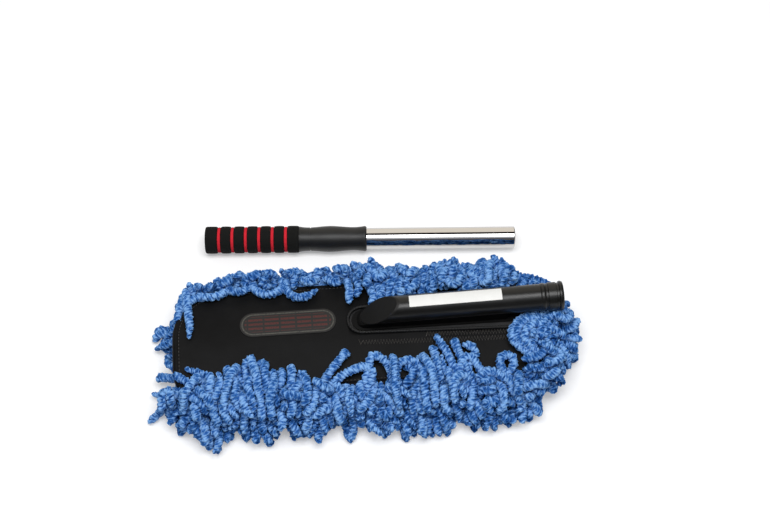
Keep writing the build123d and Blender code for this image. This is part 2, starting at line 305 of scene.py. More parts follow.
def cover_cloth():
    """Close black cloth, with a fine rib and a faint worn bloom."""
    f = Finish("cover_cloth", specular=0.1)
    x, y, _ = f.axes(f.place())
    rib = waves(x, 0.9) * waves(y, 1.1)
    bloom = f.noise(34.0, 4.0, 0.55)
    lint = f.noise(0.6, 2.0, 0.5)
    speck = f.noise(1.6, 1.0, 0.3).fade(0.74, 0.8) * 0.25
    shade = (bloom.fade(0.25, 0.8) * 0.8 + speck).least(1.0)
    f.colour(shade, (0.0032, 0.0032, 0.0034), (0.0078, 0.0078, 0.0081))
    f.rough(bloom * 0.2 + lint * 0.1 + 0.42)
    f.bump(rib * 0.35 + lint, 0.14, 0.45)
    return f


def binding_tape():
    """Woven tape rolled over the slot's edge."""
    f = Finish("binding_tape", specular=0.35)
    x, y, _ = f.axes(f.place())
    twill = waves(x + y, 1.0) * 0.5 + 0.5
    fuzz = f.noise(0.7, 3.0, 0.6)
    f.colour(twill * 0.5 + fuzz * 0.5, (0.0025, 0.0025, 0.0026), (0.008, 0.008, 0.008))
    f.rough(fuzz * 0.15 + 0.45)
    f.bump(twill + fuzz, 0.15, 0.6)
    return f


def sewing_thread(name, dark, light):
    f = Finish(name, Sheen_Weight=0.2)
    fuzz = f.noise(0.4, 2.0, 0.6)
    f.colour(fuzz, dark, light)
    f.rough(fuzz * 0.2 + 0.55)
    return f


def printed_badge():
    """Plain stripes in a thin frame, printed on a dark ground."""
    low, high = corners("badge_patch")
    middle = (low + high) / 2
    half = (high - low) / 2
    f = Finish("printed_badge", specular=0.3)
    x, y, _ = f.axes(f.moved(location=(-middle[0] * MM, -middle[1] * MM, 0.0)))
    run = (abs(x) - (half[0] - half[1]) * MM).most(0.0)
    edge = half[1] * MM - (run * run + y * y).root()
    outline = abs(edge - BADGE_FRAME).fade(BADGE_LINE, BADGE_LINE * 0.35)
    field = edge.fade(*BADGE_FIELD)
    stripe = abs((y % STRIPE_PITCH) - STRIPE_PITCH / 2).fade(0.00095, 0.0013)
    bars = abs((x % BAR_PITCH) - BAR_PITCH / 2).fade(0.0007, 0.0012)
    wear = f.noise(1.4, 4.0, 0.7).fade(0.28, 0.55)
    cloth = f.noise(0.5, 2.0, 0.5)
    printed = field * stripe * bars * wear
    ground = f.blend(printed, (0.0145, 0.014, 0.0135), (0.075, 0.016, 0.014))
    f.colour(outline * wear, ground, (0.075, 0.073, 0.062))
    f.rough(cloth * 0.15 + 0.42)
    f.bump(cloth + field * stripe, 0.1, 0.4)
    return f


def socket_plastic():
    """Glossy black moulding, matt on its slanted end."""
    f = Finish("socket_plastic", specular=0.35, colour=(0.006, 0.006, 0.0055))
    x, _, z = f.axes(f.place())
    low = corners("handle_socket")[0]
    rise = (z - low[2] * MM) * math.cos(FACET_SLANT)
    over = rise - (x - low[0] * MM) * math.sin(FACET_SLANT)
    facet = over.fade(-0.0011, -0.0004)
    grain = f.noise(0.35, 2.0, 0.6)
    handling = f.noise(9.0, 5.0, 0.65, f.stretched(0.35))
    scratch = f.noise(1.1, 2.0, 0.4, f.stretched(0.05)).fade(0.62, 0.72)
    f.rough(handling.fade(0.3, 0.8) * 0.1 + scratch * 0.06 + 0.29 + facet * 0.25)
    f.colour(facet, (0.0055, 0.0054, 0.005), (0.004, 0.0038, 0.0034))
    f.bump(grain * (facet * 0.8 + 0.2) + scratch * 0.15, 0.09, 0.5)
    return f


def moulded_black(name, colour, roughness, specular=0.35):
    """Injection-moulded plastic with a fine grain and flow marks."""
    f = Finish(name, specular)
    grain = f.noise(0.45, 2.0, 0.55)
    flow = f.noise(14.0, 3.0, 0.5)
    f.colour(flow.fade(0.3, 0.75), colour, tuple(c * 1.5 for c in colour))
    f.rough(grain * 0.12 + flow * 0.1 + roughness - 0.1)
    f.bump(grain, 0.06, 0.6)
    return f


def label_paper():
    """Bare coated paper, rubbed in places."""
    f = Finish("label_paper", specular=0.4)
    fibre = f.noise(0.9, 3.0, 0.6)
    rub = f.noise(12.0, 4.0, 0.6)
    f.colour(fibre * 0.5 + rub.fade(0.35, 0.9) * 0.5, (0.84, 0.84, 0.82), (0.72, 0.72, 0.69))
    f.rough(rub * 0.2 + 0.42)
    f.bump(fibre, 0.02, 0.4)
    return f


def bright_chrome():
    """Chromed tube: mirror bright, with faint polishing lines along it."""
    f = Finish("bright_chrome", colour=(0.60, 0.59, 0.58), Metallic=1.0)
    lines = f.noise(0.5, 3.0, 0.5, f.stretched(0.02, HANDLE_TURN))
    smear = f.noise(16.0, 4.0, 0.6)
    f.rough(lines * 0.03 + smear.fade(0.4, 0.9) * 0.05 + 0.03)
    f.bump(lines, 0.003, 0.3)
    return f


def drawn_steel(name, colour, roughness):
    f = Finish(name, colour=colour, Metallic=1.0)
    lines = f.noise(0.4, 4.0, 0.6, f.stretched(0.03, HANDLE_TURN))
    f.rough(lines * 0.2 + roughness)
    f.bump(lines, 0.01, 0.4)
    return f


def cell_foam(name, dark, light):
    """Closed-cell foam: pitted skin with a matt bloom."""
    f = Finish(name, specular=0.15)
    bloom = f.noise(5.0, 4.0, 0.6)
    fine = f.noise(0.5, 3.0, 0.6)
    f.colour(bloom * 0.6 + fine * 0.4, dark, light)
    f.rough(0.78 + fine * 0.2)
    f.bump(f.cells(0.75) + fine * 0.5, 0.35, 0.75)
    return f


def nylon():
    f = Finish("nylon", Subsurface_Weight=0.1, Subsurface_Scale=0.003)
    flow = f.noise(8.0, 3.0, 0.5)
    f.colour(flow, (0.62, 0.6, 0.55), (0.74, 0.73, 0.69))
    f.rough(flow * 0.15 + 0.35)
    f.bump(f.noise(0.5, 2.0, 0.5), 0.04, 0.5)
    return f


# ---------------------------------------------------------------- the cover's outline from above
def outline_distance(x, y):
    """Distance outside the cover's outline, negative inside it."""
    dx = x - COVER_MIDDLE[0]
    dy = y - COVER_MIDDLE[1]
    corner = np.where(dy > 0, BACK_CORNER, FRONT_CORNER)
    over_x = np.abs(dx) - COVER_HALF[0] + corner
    over_y = np.abs(dy) - COVER_HALF[1] + corner
    outside = np.hypot(np.maximum(over_x, 0), np.maximum(over_y, 0))
    return outside + np.minimum(np.maximum(over_x, over_y), 0) - corner


def heading_of(angle):
    return np.array([math.cos(angle), math.sin(angle)])


def shares(length, spacing):
    """From 0 up to but without 1, in steps that are about so long on the length."""
    count = max(1, round(length / spacing))
    return np.arange(count) / count


def cover_outline(spacing):
    """Points round the cover about so far apart, and their outward normals, from the front's left
    end anticlockwise."""
    rounds = [
        (1, -1, FRONT_CORNER, -90),
        (1, 1, BACK_CORNER, 0),
        (-1, 1, BACK_CORNER, 90),
        (-1, -1, FRONT_CORNER, 180),
    ]
    centres = [
        COVER_MIDDLE[:2] + np.array([sx, sy]) * (COVER_HALF[:2] - radius)
        for sx, sy, radius, _ in rounds
    ]
    points, normals = [], []
    for i, (_, _, radius, start) in enumerate(rounds):
        facing = heading_of(math.radians(start))
        run_start = centres[i - 1] + facing * rounds[i - 1][2]
        run = centres[i] + facing * radius - run_start
        for t in shares(np.linalg.norm(run), spacing):
            points.append(run_start + run * t)
            normals.append(facing)
        for t in shares(radius * math.pi / 2, spacing):
            facing = heading_of(math.radians(start + 90 * t))
            points.append(centres[i] + facing * radius)
            normals.append(facing)
    return np.array(points), np.array(normals)


def crown_height(y):
    return CROWN - CROWN_RADIUS + np.sqrt(CROWN_RADIUS ** 2 - (y - SOCKET_Y) ** 2)


# ---------------------------------------------------------------- mesh helpers
def piece_from(name, mesh, body, finish, replaced=()):
    """A finished piece that rides on a body and stands for CAD nodes."""
    piece = place_object(name, mesh)
    mesh.name = name
    mesh.materials.clear()
    mesh.materials.append(finish.material)
    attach(piece, body)
    if replaced:
        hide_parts(*replaced)
    return piece


def mesh_data(name, mesh):
    """Data of a mesh that was built in place, which is then freed."""
    data = bpy.data.meshes.new(name)
    mesh.to_mesh(data)
    mesh.free()
    return data


def take_mesh(holder):
    """Final mesh of a curve or of an object with modifiers, which is then deleted."""
    bpy.context.view_layer.update()
    evaluated = holder.evaluated_get(bpy.context.evaluated_depsgraph_get())
    mesh = bpy.data.meshes.new_from_object(evaluated)
    drop(holder)
    return mesh


def drop(holder):
    data = holder.data
    bpy.data.objects.remove(holder)
    if isinstance(data, bpy.types.Curve):
        bpy.data.curves.remove(data)
    else:
        bpy.data.meshes.remove(data)


def section(name, count, radius):
    """Closed curve that others take as their cross-section; radius is a function of the angle."""
    curve = bpy.data.curves.new(name, "CURVE")
    curve.dimensions = "2D"
    spline = curve.splines.new("POLY")
    spline.points.add(count - 1)
    for i, point in enumerate(spline.points):
        angle = math.tau * i / count
        r = radius(angle) * MM
        point.co = (r * math.cos(angle), r * math.sin(angle), 0.0, 1.0)
    spline.use_cyclic_u = True
    return place_object(name, curve)


def swept(name, paths, profile, tilts=None, swells=None):
    """Mesh of the profile swept along each path."""
    curve = bpy.data.curves.new(name, "CURVE")
    curve.dimensions = "3D"
    curve.twist_mode = "MINIMUM"
    curve.bevel_mode = "OBJECT"
    curve.bevel_object = profile
    curve.use_fill_caps = True
    for i, path in enumerate(paths):
        spline = curve.splines.new("POLY")
        spline.points.add(len(path) - 1)
        spline.points.foreach_set("co", np.column_stack([path * MM, np.ones(len(path))]).ravel())
        if tilts:
            spline.points.foreach_set("tilt", tilts[i])
        if swells:
            spline.points.foreach_set("radius", swells[i])
    return take_mesh(place_object(name, curve))


def close_ends(data):
    """Merges a swept mesh's end faces with its sides."""
    mesh = bmesh.new()
    mesh.from_mesh(data)
    bmesh.ops.remove_doubles(mesh, verts=mesh.verts, dist=1e-7)
    mesh.to_mesh(data)
    mesh.free()
    data.shade_smooth()


def sewn_piece(name, paths, profile, finish, replaced=(), tilts=None, swells=None):
    """A piece of the cover that is swept along paths."""
    mesh = swept(name, paths, profile, tilts, swells)
    close_ends(mesh)
    return piece_from(name, mesh, "cover", finish, replaced)


def ring_of(mesh, points, height, filled=False):
    """Adds a closed ring of vertices at places seen from above, all at one height."""
    made = bmesh.ops.create_circle(mesh, cap_ends=filled, segments=len(points), radius=1.0)
    for vert, (x, y) in zip(made["verts"], points):
        vert.co = (x * MM, y * MM, height * MM)
    return made["verts"]


def new_verts(made):
    return [v for v in made["geom"] if isinstance(v, bmesh.types.BMVert)]


def prism(outline, start, end):
    """Closed upright prism over an outline, drawn from one height to another."""
    mesh = bmesh.new()
    ring_of(mesh, outline, start, filled=True)
    made = bmesh.ops.extrude_face_region(mesh, geom=mesh.faces[:])
    bmesh.ops.translate(mesh, verts=new_verts(made), vec=(0.0, 0.0, (end - start) * MM))
    bmesh.ops.recalc_face_normals(mesh, faces=mesh.faces)
    return mesh


def smooth_path(points, step):
    """Points a step apart on the quadratic spline that the given points control."""
    points = np.asarray(points, float)
    joins = np.vstack([points[:1], (points[:-1] + points[1:]) / 2, points[-1:]])
    t = np.linspace(0, 1, 12, endpoint=False)[:, None]
    dense = [
        (1 - t) ** 2 * a + 2 * t * (1 - t) * b + t ** 2 * c
        for a, b, c in zip(joins[:-1], points, joins[1:])
    ]
    dense = np.vstack([*dense, joins[-1:]])
    walk = np.concatenate([[0], np.cumsum(np.linalg.norm(np.diff(dense[:, :3], axis=0), axis=1))])
    at = np.linspace(0, walk[-1], max(3, round(walk[-1] / step) + 1))
    return np.column_stack([np.interp(at, walk, column) for column in dense.T])


# ---------------------------------------------------------------- how the loops of the fringe lie
LINK = 6.0              # length of a link of a loop's centre line
FAR = 60.0              # no loop reaches further than this
TIP_PULL = 9.0          # a combed loop that ends this near to a tip of the fringe is drawn to it
HOOKED = 0.35           # share of the combed loops that have a hooked end
HOOK_FROM = 0.6         # share of a loop's way that its hook starts at
HOOK_SPAN = 0.16        # and the square of the share that is left
DRIFT = 0.7             # how far neighbouring combed loops lean together
DRIFT_SPAN = 18.0       # over about this length
WANDER = 0.16           # random turn of a growing loop at each link, level
HEAVE = 0.06            # and up or down
EDGE_STEP = 0.5         # between the points of the cover's outline that stitches are set at

# Loops given one by one, each as points of its centre line: first those over the nose and the back.
STRAY_LOOPS = [
    [(-169, 34, 40), (-167, 22, 47), (-166, 5, 49), (-164, -8, 49), (-165, -19, 48)],
    [(-172, 30, 38), (-174, 16, 43), (-177, 2, 40)],
    [(-104, 40, 40), (-103, 31, 44), (-97, 23, 46), (-88, 21, 47), (-79, 23, 47), (-73, 30, 45),
     (-70, 38, 40)],
    [(-76, 40, 40), (-72, 30, 46), (-68, 19, 47), (-59, 14, 48), (-50, 16, 48), (-43, 22, 47)],
    [(-176, 12, 38), (-171, 14, 43), (-166, 19, 46), (-160, 23, 46), (-152, 25, 45)],
    [(-158, 26, 42), (-152, 23, 46), (-146, 23, 47), (-139, 22, 47), (-131, 27, 46),
     (-124, 33, 42)],
    [(-130, 36, 40), (-124, 28, 46), (-116, 26, 47), (-109, 29, 46)],
    [(-12, 38, 38), (-10, 24, 46), (-10, 14, 49), (-11, 8, 49)],
    [(-2, 42, 38), (-2, 30, 48), (0, 22, 50), (-3, 14, 50)],
    [(9, 38, 36), (10, 18, 48), (14, 8, 52), (11, 1, 52)],
    [(29, 38, 36), (25, 20, 50), (18, 10, 54), (19, 1, 56)],
    [(44, 38, 36), (41, 22, 52), (36, 13, 56), (32, 6, 58)],
    [(58, 38, 36), (55, 22, 52), (52, 13, 57), (45, 9, 58)],
    [(147, 29, 34), (152, 23, 39), (160, 20, 41), (168, 20, 39), (176, 20, 35)],
    [(150, 38, 32), (156, 30, 38), (164, 24, 40), (160, 14, 44), (152, 10, 46)],
    [(162, 33, 30), (172, 27, 35), (182, 22, 34), (190, 20, 28)],
    # over the front: one that stands on its own, a ring, and the leaning ones by the socket
    [(-52, -84, 28), (-43, -75, 34), (-37, -68, 41), (-30, -61, 44), (-24, -54, 45),
     (-18, -48, 46)],
    [(-42, -80, 32), (-30, -74, 40), (-21, -69, 44), (-12, -66, 46), (-2, -63, 48), (6, -66, 48),
     (7, -73, 45), (2, -80, 41), (-4, -86, 34)],
    [(-2, -80, 40), (1, -70, 44), (4, -60, 48), (6, -52, 50), (13, -55, 50), (20, -61, 48),
     (24, -70, 45), (24, -81, 39), (22, -92, 28)],
    [(34, -92, 28), (30, -82, 38), (27, -71, 44), (31, -62, 47), (40, -60, 49), (48, -62, 48),
     (52, -71, 44), (52, -82, 38), (49, -92, 28)],
    [(80, -92, 28), (72, -78, 37), (68, -64, 43), (65, -50, 46)],
    [(94, -94, 28), (85, -74, 41), (78, -55, 47), (70, -39, 48)],
    [(74, -86, 32), (73, -72, 42), (72, -60, 47)],
    [(108, -94, 28), (98, -78, 40), (91, -62, 46), (86, -45, 48)],
    [(82, -90, 28), (87, -74, 40), (92, -61, 47), (98, -58, 48), (105, -67, 44), (112, -81, 37),
     (119, -93, 28)],
    [(142, -86, 30), (134, -80, 38), (127, -73, 43), (125, -66, 46), (131, -61, 48), (138, -62, 48),
     (141, -68, 46), (137, -76, 42), (130, -80, 38)],
    # at the corner by the nose: two level ones over the cover, and those that point outwards
    [(-132, -74, 36), (-142, -65, 41), (-152, -59, 43), (-167, -53, 44)],
    [(-144, -80, 33), (-158, -72, 38), (-169, -64, 41), (-178, -58, 42)],
    [(-170, -64, 24), (-182, -68, 16), (-194, -75, 9), (-206, -84, 5)],
    [(-174, -60, 26), (-186, -64, 18), (-195, -63, 12), (-203, -58, 8)],
    [(-176, -54, 26), (-184, -50, 22), (-191, -46, 18), (-197, -44, 14)],
    [(-178, -44, 26), (-184, -38, 24), (-189, -32, 21)],
    # tips at the front
    [(-13, -92, 28), (-15, -102, 20), (-14, -110, 10), (-18, -116, 6)],
    [(158, -86, 28), (160, -93, 22), (162, -99, 13), (164, -103, 6)],
    # beside the socket's mouth
    [(180, -28, 46), (168, -26, 51), (156, -27, 53), (148, -34, 53), (144, -42, 51), (147, -50, 49),
     (155, -55, 46)],
    [(186, -40, 42), (176, -34, 50), (164, -33, 56), (153, -40, 56), (151, -50, 52),
     (160, -60, 44)],
    [(178, -24, 48), (168, -21, 50), (157, -22, 50), (147, -29, 50), (140, -38, 50), (140, -46, 48),
     (146, -53, 46), (156, -60, 44), (160, -72, 40)],
    [(186, -30, 44), (176, -28, 50), (165, -30, 52), (156, -38, 52), (154, -48, 50), (160, -57, 46),
     (170, -62, 40)],
    [(192, -42, 40), (183, -38, 47), (172, -38, 51), (163, -46, 51), (158, -52, 50)],
    [(194, -24, 40), (186, -22, 46), (178, -26, 52), (170, -34, 54), (168, -46, 52)],
    [(184, -66, 32), (178, -58, 42), (172, -50, 48), (174, -42, 52)],
]

# Where the fringe's tips end, seen from above: along the front from the nose's corner to the
# mouth's, round the end, along the back and round the nose, with the notches between the tips.
FRONT_TIPS = [
    (-206, -87), (-194, -76), (-177, -102), (-167, -99), (-160, -110), (-152, -122), (-143, -124),
    (-126, -105), (-116, -113), (-105, -113), (-93, -120), (-79, -102), (-71, -116), (-60, -111),
    (-48, -119), (-37, -106), (-22, -100), (-18, -122), (-7, -105), (0, -112), (14, -121),
    (30, -110), (35, -125), (44, -119), (60, -122), (75, -121), (85, -107), (91, -116), (109, -120),
    (119, -120), (131, -108), (133, -117), (145, -111), (153, -113), (163, -109),
]
END_TIPS = [
    (168, -106), (173, -97), (166, -89), (174, -83), (182, -79), (180, -73), (185, -66), (192, -60),
    (203, -55), (209, -48), (208, -38), (215, -30), (212, -23), (217, -16), (213, -6), (217, 4),
    (211, 10), (215, 18),
]
BACK_TIPS = [
    (204, 30), (190, 36), (182, 44), (172, 50), (168, 62), (150, 58), (136, 65), (112, 62),
    (90, 66), (64, 62), (40, 65), (14, 62), (-8, 66), (-36, 62), (-62, 66), (-90, 62), (-118, 66),
    (-146, 60), (-170, 62), (-180, 44),
]
NOSE_TIPS = [
    (-199, 20), (-204, 14), (-209, 9), (-204, -2), (-209, -12), (-190, -22), (-194, -32),
    (-188, -40), (-205, -46), (-202, -56), (-207, -64), (-210, -74),
]
FRINGE_EDGE = np.array(FRONT_TIPS + END_TIPS + BACK_TIPS + NOSE_TIPS, float)

# How far back the fringe's back comes at the floor; higher up it comes less far, by SLOPE.
SLOPE = 0.62
BACK_CREST = [
    (212, 17), (201, 25), (189, 36), (183, 43), (174, 51), (164, 56), (155, 59), (146, 74),
    (137, 79), (126, 79), (115, 72), (105, 73), (96, 81), (85, 82), (75, 75), (64, 71), (54, 71),
    (44, 79), (34, 74), (24, 77), (14, 87), (4, 84), (-7, 80), (-17, 83), (-27, 79), (-37, 80),
    (-48, 73), (-57, 81), (-68, 82), (-78, 82), (-88, 80), (-98, 81), (-108, 75), (-118, 81),
    (-128, 80), (-139, 76), (-149, 68), (-159, 69), (-170, 71), (-178, 60), (-181, 47), (-184, 33),
    (-192, 26),
]
BACK_WALL = 60.0        # the loops at the back lean out no further than this

# Where the cover shows between the front's loops: x, y and radius.
BARE_SPOTS = [(-12, -74, 4.0), (13, -69, 5.0), (12, -80, 5.0), (36, -73, 5.0), (44, -80, 3.5)]

# How far in over the cover the front's loops reach, from the nose to the mouth.
OVER_FRONT = [
    (-180, -62), (-168, -60), (-156, -58), (-141, -56), (-132, -54), (-124, -48), (-118, -44),
    (-110, -46), (-103, -55), (-96, -56), (-88, -52), (-80, -50), (-73, -58), (-66, -66),
    (-59, -72), (-50, -76), (-40, -84), (-12, -82), (2, -88), (18, -86), (25, -60), (34, -56),
    (47, -58), (56, -61), (64, -66), (90, -68), (108, -76), (120, -84), (140, -84), (148, -78),
    (162, -66), (175, -58),
]

# Layers of combed loops from the top down: the share of the pile's height that they start at, the
# distance between loops, and the least and most share of their reach that their tips stop short.
LAYERS = [
    (0.95, 21.0, (0.2, 0.5)),
    (0.75, 16.0, (0.05, 0.35)),
    (0.55, 13.0, (0.0, 0.2)),
    (0.36, 12.0, (0.0, 0.12)),
    (0.14, 12.0, (0.05, 0.3)),
]
COMBED_TO = {"front": 1.0, "end": 0.7, "nose": 0.9, "back": 0.0}   # highest share on each side
# Mean and spread of the angle that loops leave their stitches at: the front's lean one way.
COMBED_LEAN = {"front": (0.2, 0.28), "end": (0.0, 0.25), "nose": (0.0, 0.25)}
ROW_LEAN = {"front": (0.15, 0.35), "end": (0.0, 0.45), "back": (0.0, 0.45)}
STACK = 43.0            # height of the pile at the cover's edge
NOSE_PART = -60.0       # up to here, fewer of the loops over the front end on the cover
ENDING_BY_NOSE, ENDING = 0.2, 0.5
TURNING_BACK = 0.5      # share of the loops over the back that turn back
FRONT_STRIDE, BACK_STRIDE = (5.5, 9.0), (4.5, 7.5)     # between loops over the front and the back
MOUTH_X, MOUTH_Y = (172, 182), (-72, -24)      # where the loops that curl back are sewn
MOUTH_SPACING = 4.2
UNDER_SPACING = 14.0
BARE_NOSE = (-66.0, -9.0)       # no combed loops between these, at the nose
FULL_REACH = 36.0       # a row's loops are shorter where the fringe's edge is nearer than this
END_FACING = 0.8        # how far the normal of the nose or the end points along the head


def unit(vector):
    return vector / max(np.linalg.norm(vector), 1e-9)


def turned(vector, angle):
    c, s = math.cos(angle), math.sin(angle)
    return np.array([c * vector[0] - s * vector[1], s * vector[0] + c * vector[1]])


def side_of(normal):
    if abs(normal[0]) > END_FACING:
        return "end" if normal[0] > 0 else "nose"
    return "back" if normal[1] > 0 else "front"


def reach_to_edge(point, heading):
    """Distance from a point inside to the fringe's edge, along a heading."""
    best = FAR
    for a, b in zip(FRINGE_EDGE, np.roll(FRINGE_EDGE, -1, axis=0)):
        run = b - a
        cross = heading[0] * run[1] - heading[1] * run[0]
        if abs(cross) < TINY:
            continue
        gap = a - point
        away = (gap[0] * run[1] - gap[1] * run[0]) / cross
        share = (gap[0] * heading[1] - gap[1] * heading[0]) / cross
        if away > 0 and 0 <= share <= 1:
            best = min(best, away)
    return best


def grow(root, heading, rise, length, curl, droop):
    """Centre line of a loop: it leaves its stitch at an angle, curls, and droops to the floor."""
    level = math.cos(rise)
    direction = np.array([heading[0] * level, heading[1] * level, math.sin(rise)])
    points = [np.array(root, float)]
    for _ in range(max(3, round(length / LINK))):
        x, y = turned(direction, curl + rng.normal(0, WANDER))
        direction = unit(np.array([x, y, direction[2] - droop + rng.normal(0, HEAVE)]))
        point = points[-1] + direction * LINK
        if point[2] < LOOP_RADIUS:
            point[2] = LOOP_RADIUS
            direction = unit(direction * [1.0, 1.0, 0.0])
        points.append(point)
    return np.array(points)


def combed(point, normal, lean, share, short, height):
    """A loop that hangs from the cover's edge down to the fringe's edge, drawn to the nearest tip
    of the fringe, with a slight wave and often a hooked end."""
    heading = turned(normal, lean)
    tip = point + heading * reach_to_edge(point, heading)
    gaps = np.linalg.norm(FRINGE_EDGE - tip, axis=1)
    near = np.argmin(gaps)
    if gaps[near] < TIP_PULL:
        tip = tip + (FRINGE_EDGE[near] - tip) * rng.uniform(0.2, 0.8)
    tip = point + (tip - point) * (1 - short) - unit(tip - point) * LOOP_RADIUS
    across = turned(unit(tip - point), math.pi / 2)
    wave = rng.uniform(1.0, 4.5) * rng.choice([-1, 1])
    lift = rng.uniform(0.0, 5.0)
    phase = rng.uniform(0, math.tau)
    hook = rng.normal(0, 7 if rng.random() < HOOKED else 1.5)
    points = []
    for t in (0.0, 0.12, 0.3, 0.5, 0.7, 0.88, 1.0):
        bend = wave * math.sin(phase + 5.5 * t) + hook * max(t - HOOK_FROM, 0) ** 2 / HOOK_SPAN
        rise = share * height * (1 - t ** 2.2) + LOOP_RADIUS + lift * math.sin(math.pi * t)
        x, y = point + (tip - point) * t + across * bend
        points.append((x, y, max(rise + rng.normal(0, 1.2), LOOP_RADIUS)))
    return smooth_path(points, LINK)


def walk_round(spacing):
    """Stitches round the cover's edge: points, normals and the side that each is on."""
    wait = 0.0
    for point, normal in zip(*cover_outline(EDGE_STEP)):
        wait -= EDGE_STEP
        if wait <= 0:
            wait = spacing * rng.uniform(0.75, 1.25)
            yield point, normal, side_of(normal)


def strides(start, end, least, most):
    """Places from start to end, each a random stride from the last."""
    place = start
    while place < end:
        yield place
        place += rng.uniform(least, most)


def lay_combed():
    """The front and the nose, and the lower layers of the end."""
    for share, spacing, short in LAYERS:
        for point, normal, side in walk_round(spacing):
            bare = side == "nose" and BARE_NOSE[0] < point[1] < BARE_NOSE[1]
            if bare or share > COMBED_TO[side]:
                continue
            drift = noise.noise((point[0] / DRIFT_SPAN, point[1] / DRIFT_SPAN, 3.0 * share))
            lean = DRIFT * drift + rng.normal(*COMBED_LEAN[side])
            start = point - normal * rng.uniform(0, 4)
            height = STACK - 6 if side == "front" else 0.8 * STACK
            yield combed(start, normal, lean, share, rng.uniform(*short), height)


# Rows of curling loops: the side, the distance between stitches, how far in and how high they
# are, and the least and most rise in degrees, length, and droop of the loops.
ROWS = [
    ("front", 12.0, 2.0, 34.0, (5, 60), (26, 40), (0.10, 0.28)),
    ("front", 11.5, 3.0, 26.0, (-5, 45), (28, 44), (0.08, 0.24)),
    ("front", 13.0, 6.0, 17.0, (-15, 20), (34, 48), (0.06, 0.2)),
    ("end", 5.6, 2.0, 27.0, (15, 65), (34, 50), (0.10, 0.26)),
    ("end", 5.6, 4.0, 22.0, (-5, 30), (32, 46), (0.08, 0.2)),
    ("back", 5.8, 1.0, 33.0, (40, 80), (20, 32), (0.04, 0.16)),
    ("back", 5.6, 2.0, 28.0, (10, 45), (22, 32), (0.04, 0.14)),
    ("back", 6.4, 7.0, 19.0, (0, 20), (24, 34), (0.02, 0.1)),
    ("back", 7.4, 15.0, 9.0, (-5, 8), (28, 40), (0.0, 0.06)),
]


def lay_rows():
    """Loops that stand and curl at the front, the end and the back."""
    for row_side, spacing, inset, height, rise, length, droop in ROWS:
        for point, normal, side in walk_round(spacing):
            if side != row_side:
                continue
            heading = turned(normal, rng.normal(*ROW_LEAN[side]))
            spot = point - normal * inset
            reach = rng.uniform(*length) * min(reach_to_edge(spot, heading) / FULL_REACH, 1.0)
            rising = math.radians(rng.uniform(*rise))
            curl = rng.normal(0, 0.22)
            yield grow((*spot, height), heading, rising, reach, curl, rng.uniform(*droop))


def lay_tips():
    """Two loops to each tip of the front, so that it stands out from the notches beside it."""
    front = COVER_LOW[1]
    for before, tip, after in zip(FRONT_TIPS, FRONT_TIPS[1:], FRONT_TIPS[2:]):
        if tip[1] > min(before[1], after[1]):
            continue
        for short, height in ((LOOP_RADIUS, 12.0), (LOOP_RADIUS + 4.0, 26.0)):
            lean = rng.normal(0.2, 0.12)
            root = np.array([tip[0] - lean * (front - tip[1]), front])
            end = np.array(tip, float)
            end = end + unit(root - end) * short
            bend = turned(unit(end - root), math.pi / 2) * rng.normal(0, 2.5)
            yield smooth_path([
                (*root, height),
                (*(0.75 * root + 0.25 * end + 0.6 * bend), height - 1),
                (*((root + end) / 2 + bend), 0.7 * height + 2),
                (*(0.2 * root + 0.8 * end), LOOP_RADIUS + 0.25 * height),
                (*end, LOOP_RADIUS + 0.5),
            ], LINK)


def lay_over_front():
    """Loops that come up the front's side and in over the cover: some end there, and the others
    turn and fall back over the edge. A plan holds (sideways, y, z) of a loop's points."""
    edge_x, edge_y = np.array(OVER_FRONT).T
    front = COVER_LOW[1]
    rim = crown_height(front) + LOOP_RADIUS
    for x in strides(COVER_LOW[0] + 4.0, COVER_HIGH[0] - 12, *FRONT_STRIDE):
        inner = float(np.interp(x, edge_x, edge_y)) + rng.uniform(-8, 0.5)
        top = crown_height(inner) + LOOP_RADIUS
        if rng.random() < (ENDING_BY_NOSE if x < NOSE_PART else ENDING):
            plan = [
                (16, front - 7, rim - 12),
                (12, front - 2, rim + 1),
                (6, (front + inner) / 2, top + 3),
                (2, inner - 6, top + 3),
                (0, inner, top),
            ]
        else:
            width = rng.uniform(7, 12)
            plan = [
                (4, front - 2, rim - 10),
                (3, front + 4, rim + 1),
                (0, inner - 5, top + 1),
                (0.3 * width, inner + 3, top + 3),
                (width, inner, top + 5),
                (width + 5, inner - 12, top + 5),
                (width + 9, front - 6, rim + 3),
                (width + 11, front - 6 - rng.uniform(4, 20), rim - 6),
            ]
        slant = rng.uniform(-1.2, 2.2)
        path = [(x + slant * dx + rng.normal(0, 2), y, z) for dx, y, z in plan]
        yield smooth_path(path, LINK)


def lay_at_mouth():
    """Loops that curl back from the cover's mouth on to its top, beside the socket."""
    for y in np.arange(*MOUTH_Y, MOUTH_SPACING):
        heading = turned(np.array([-1.0, 0.0]), rng.normal(0.0, 0.5))
        x = rng.uniform(*MOUTH_X)
        start = (x, y + rng.uniform(-2, 2), crown_height(y) + rng.uniform(2, 9))
        rise = math.radians(rng.uniform(0, 45))
        yield grow(start, heading, rise, rng.uniform(22, 34), rng.normal(0, 0.4), 0.12)


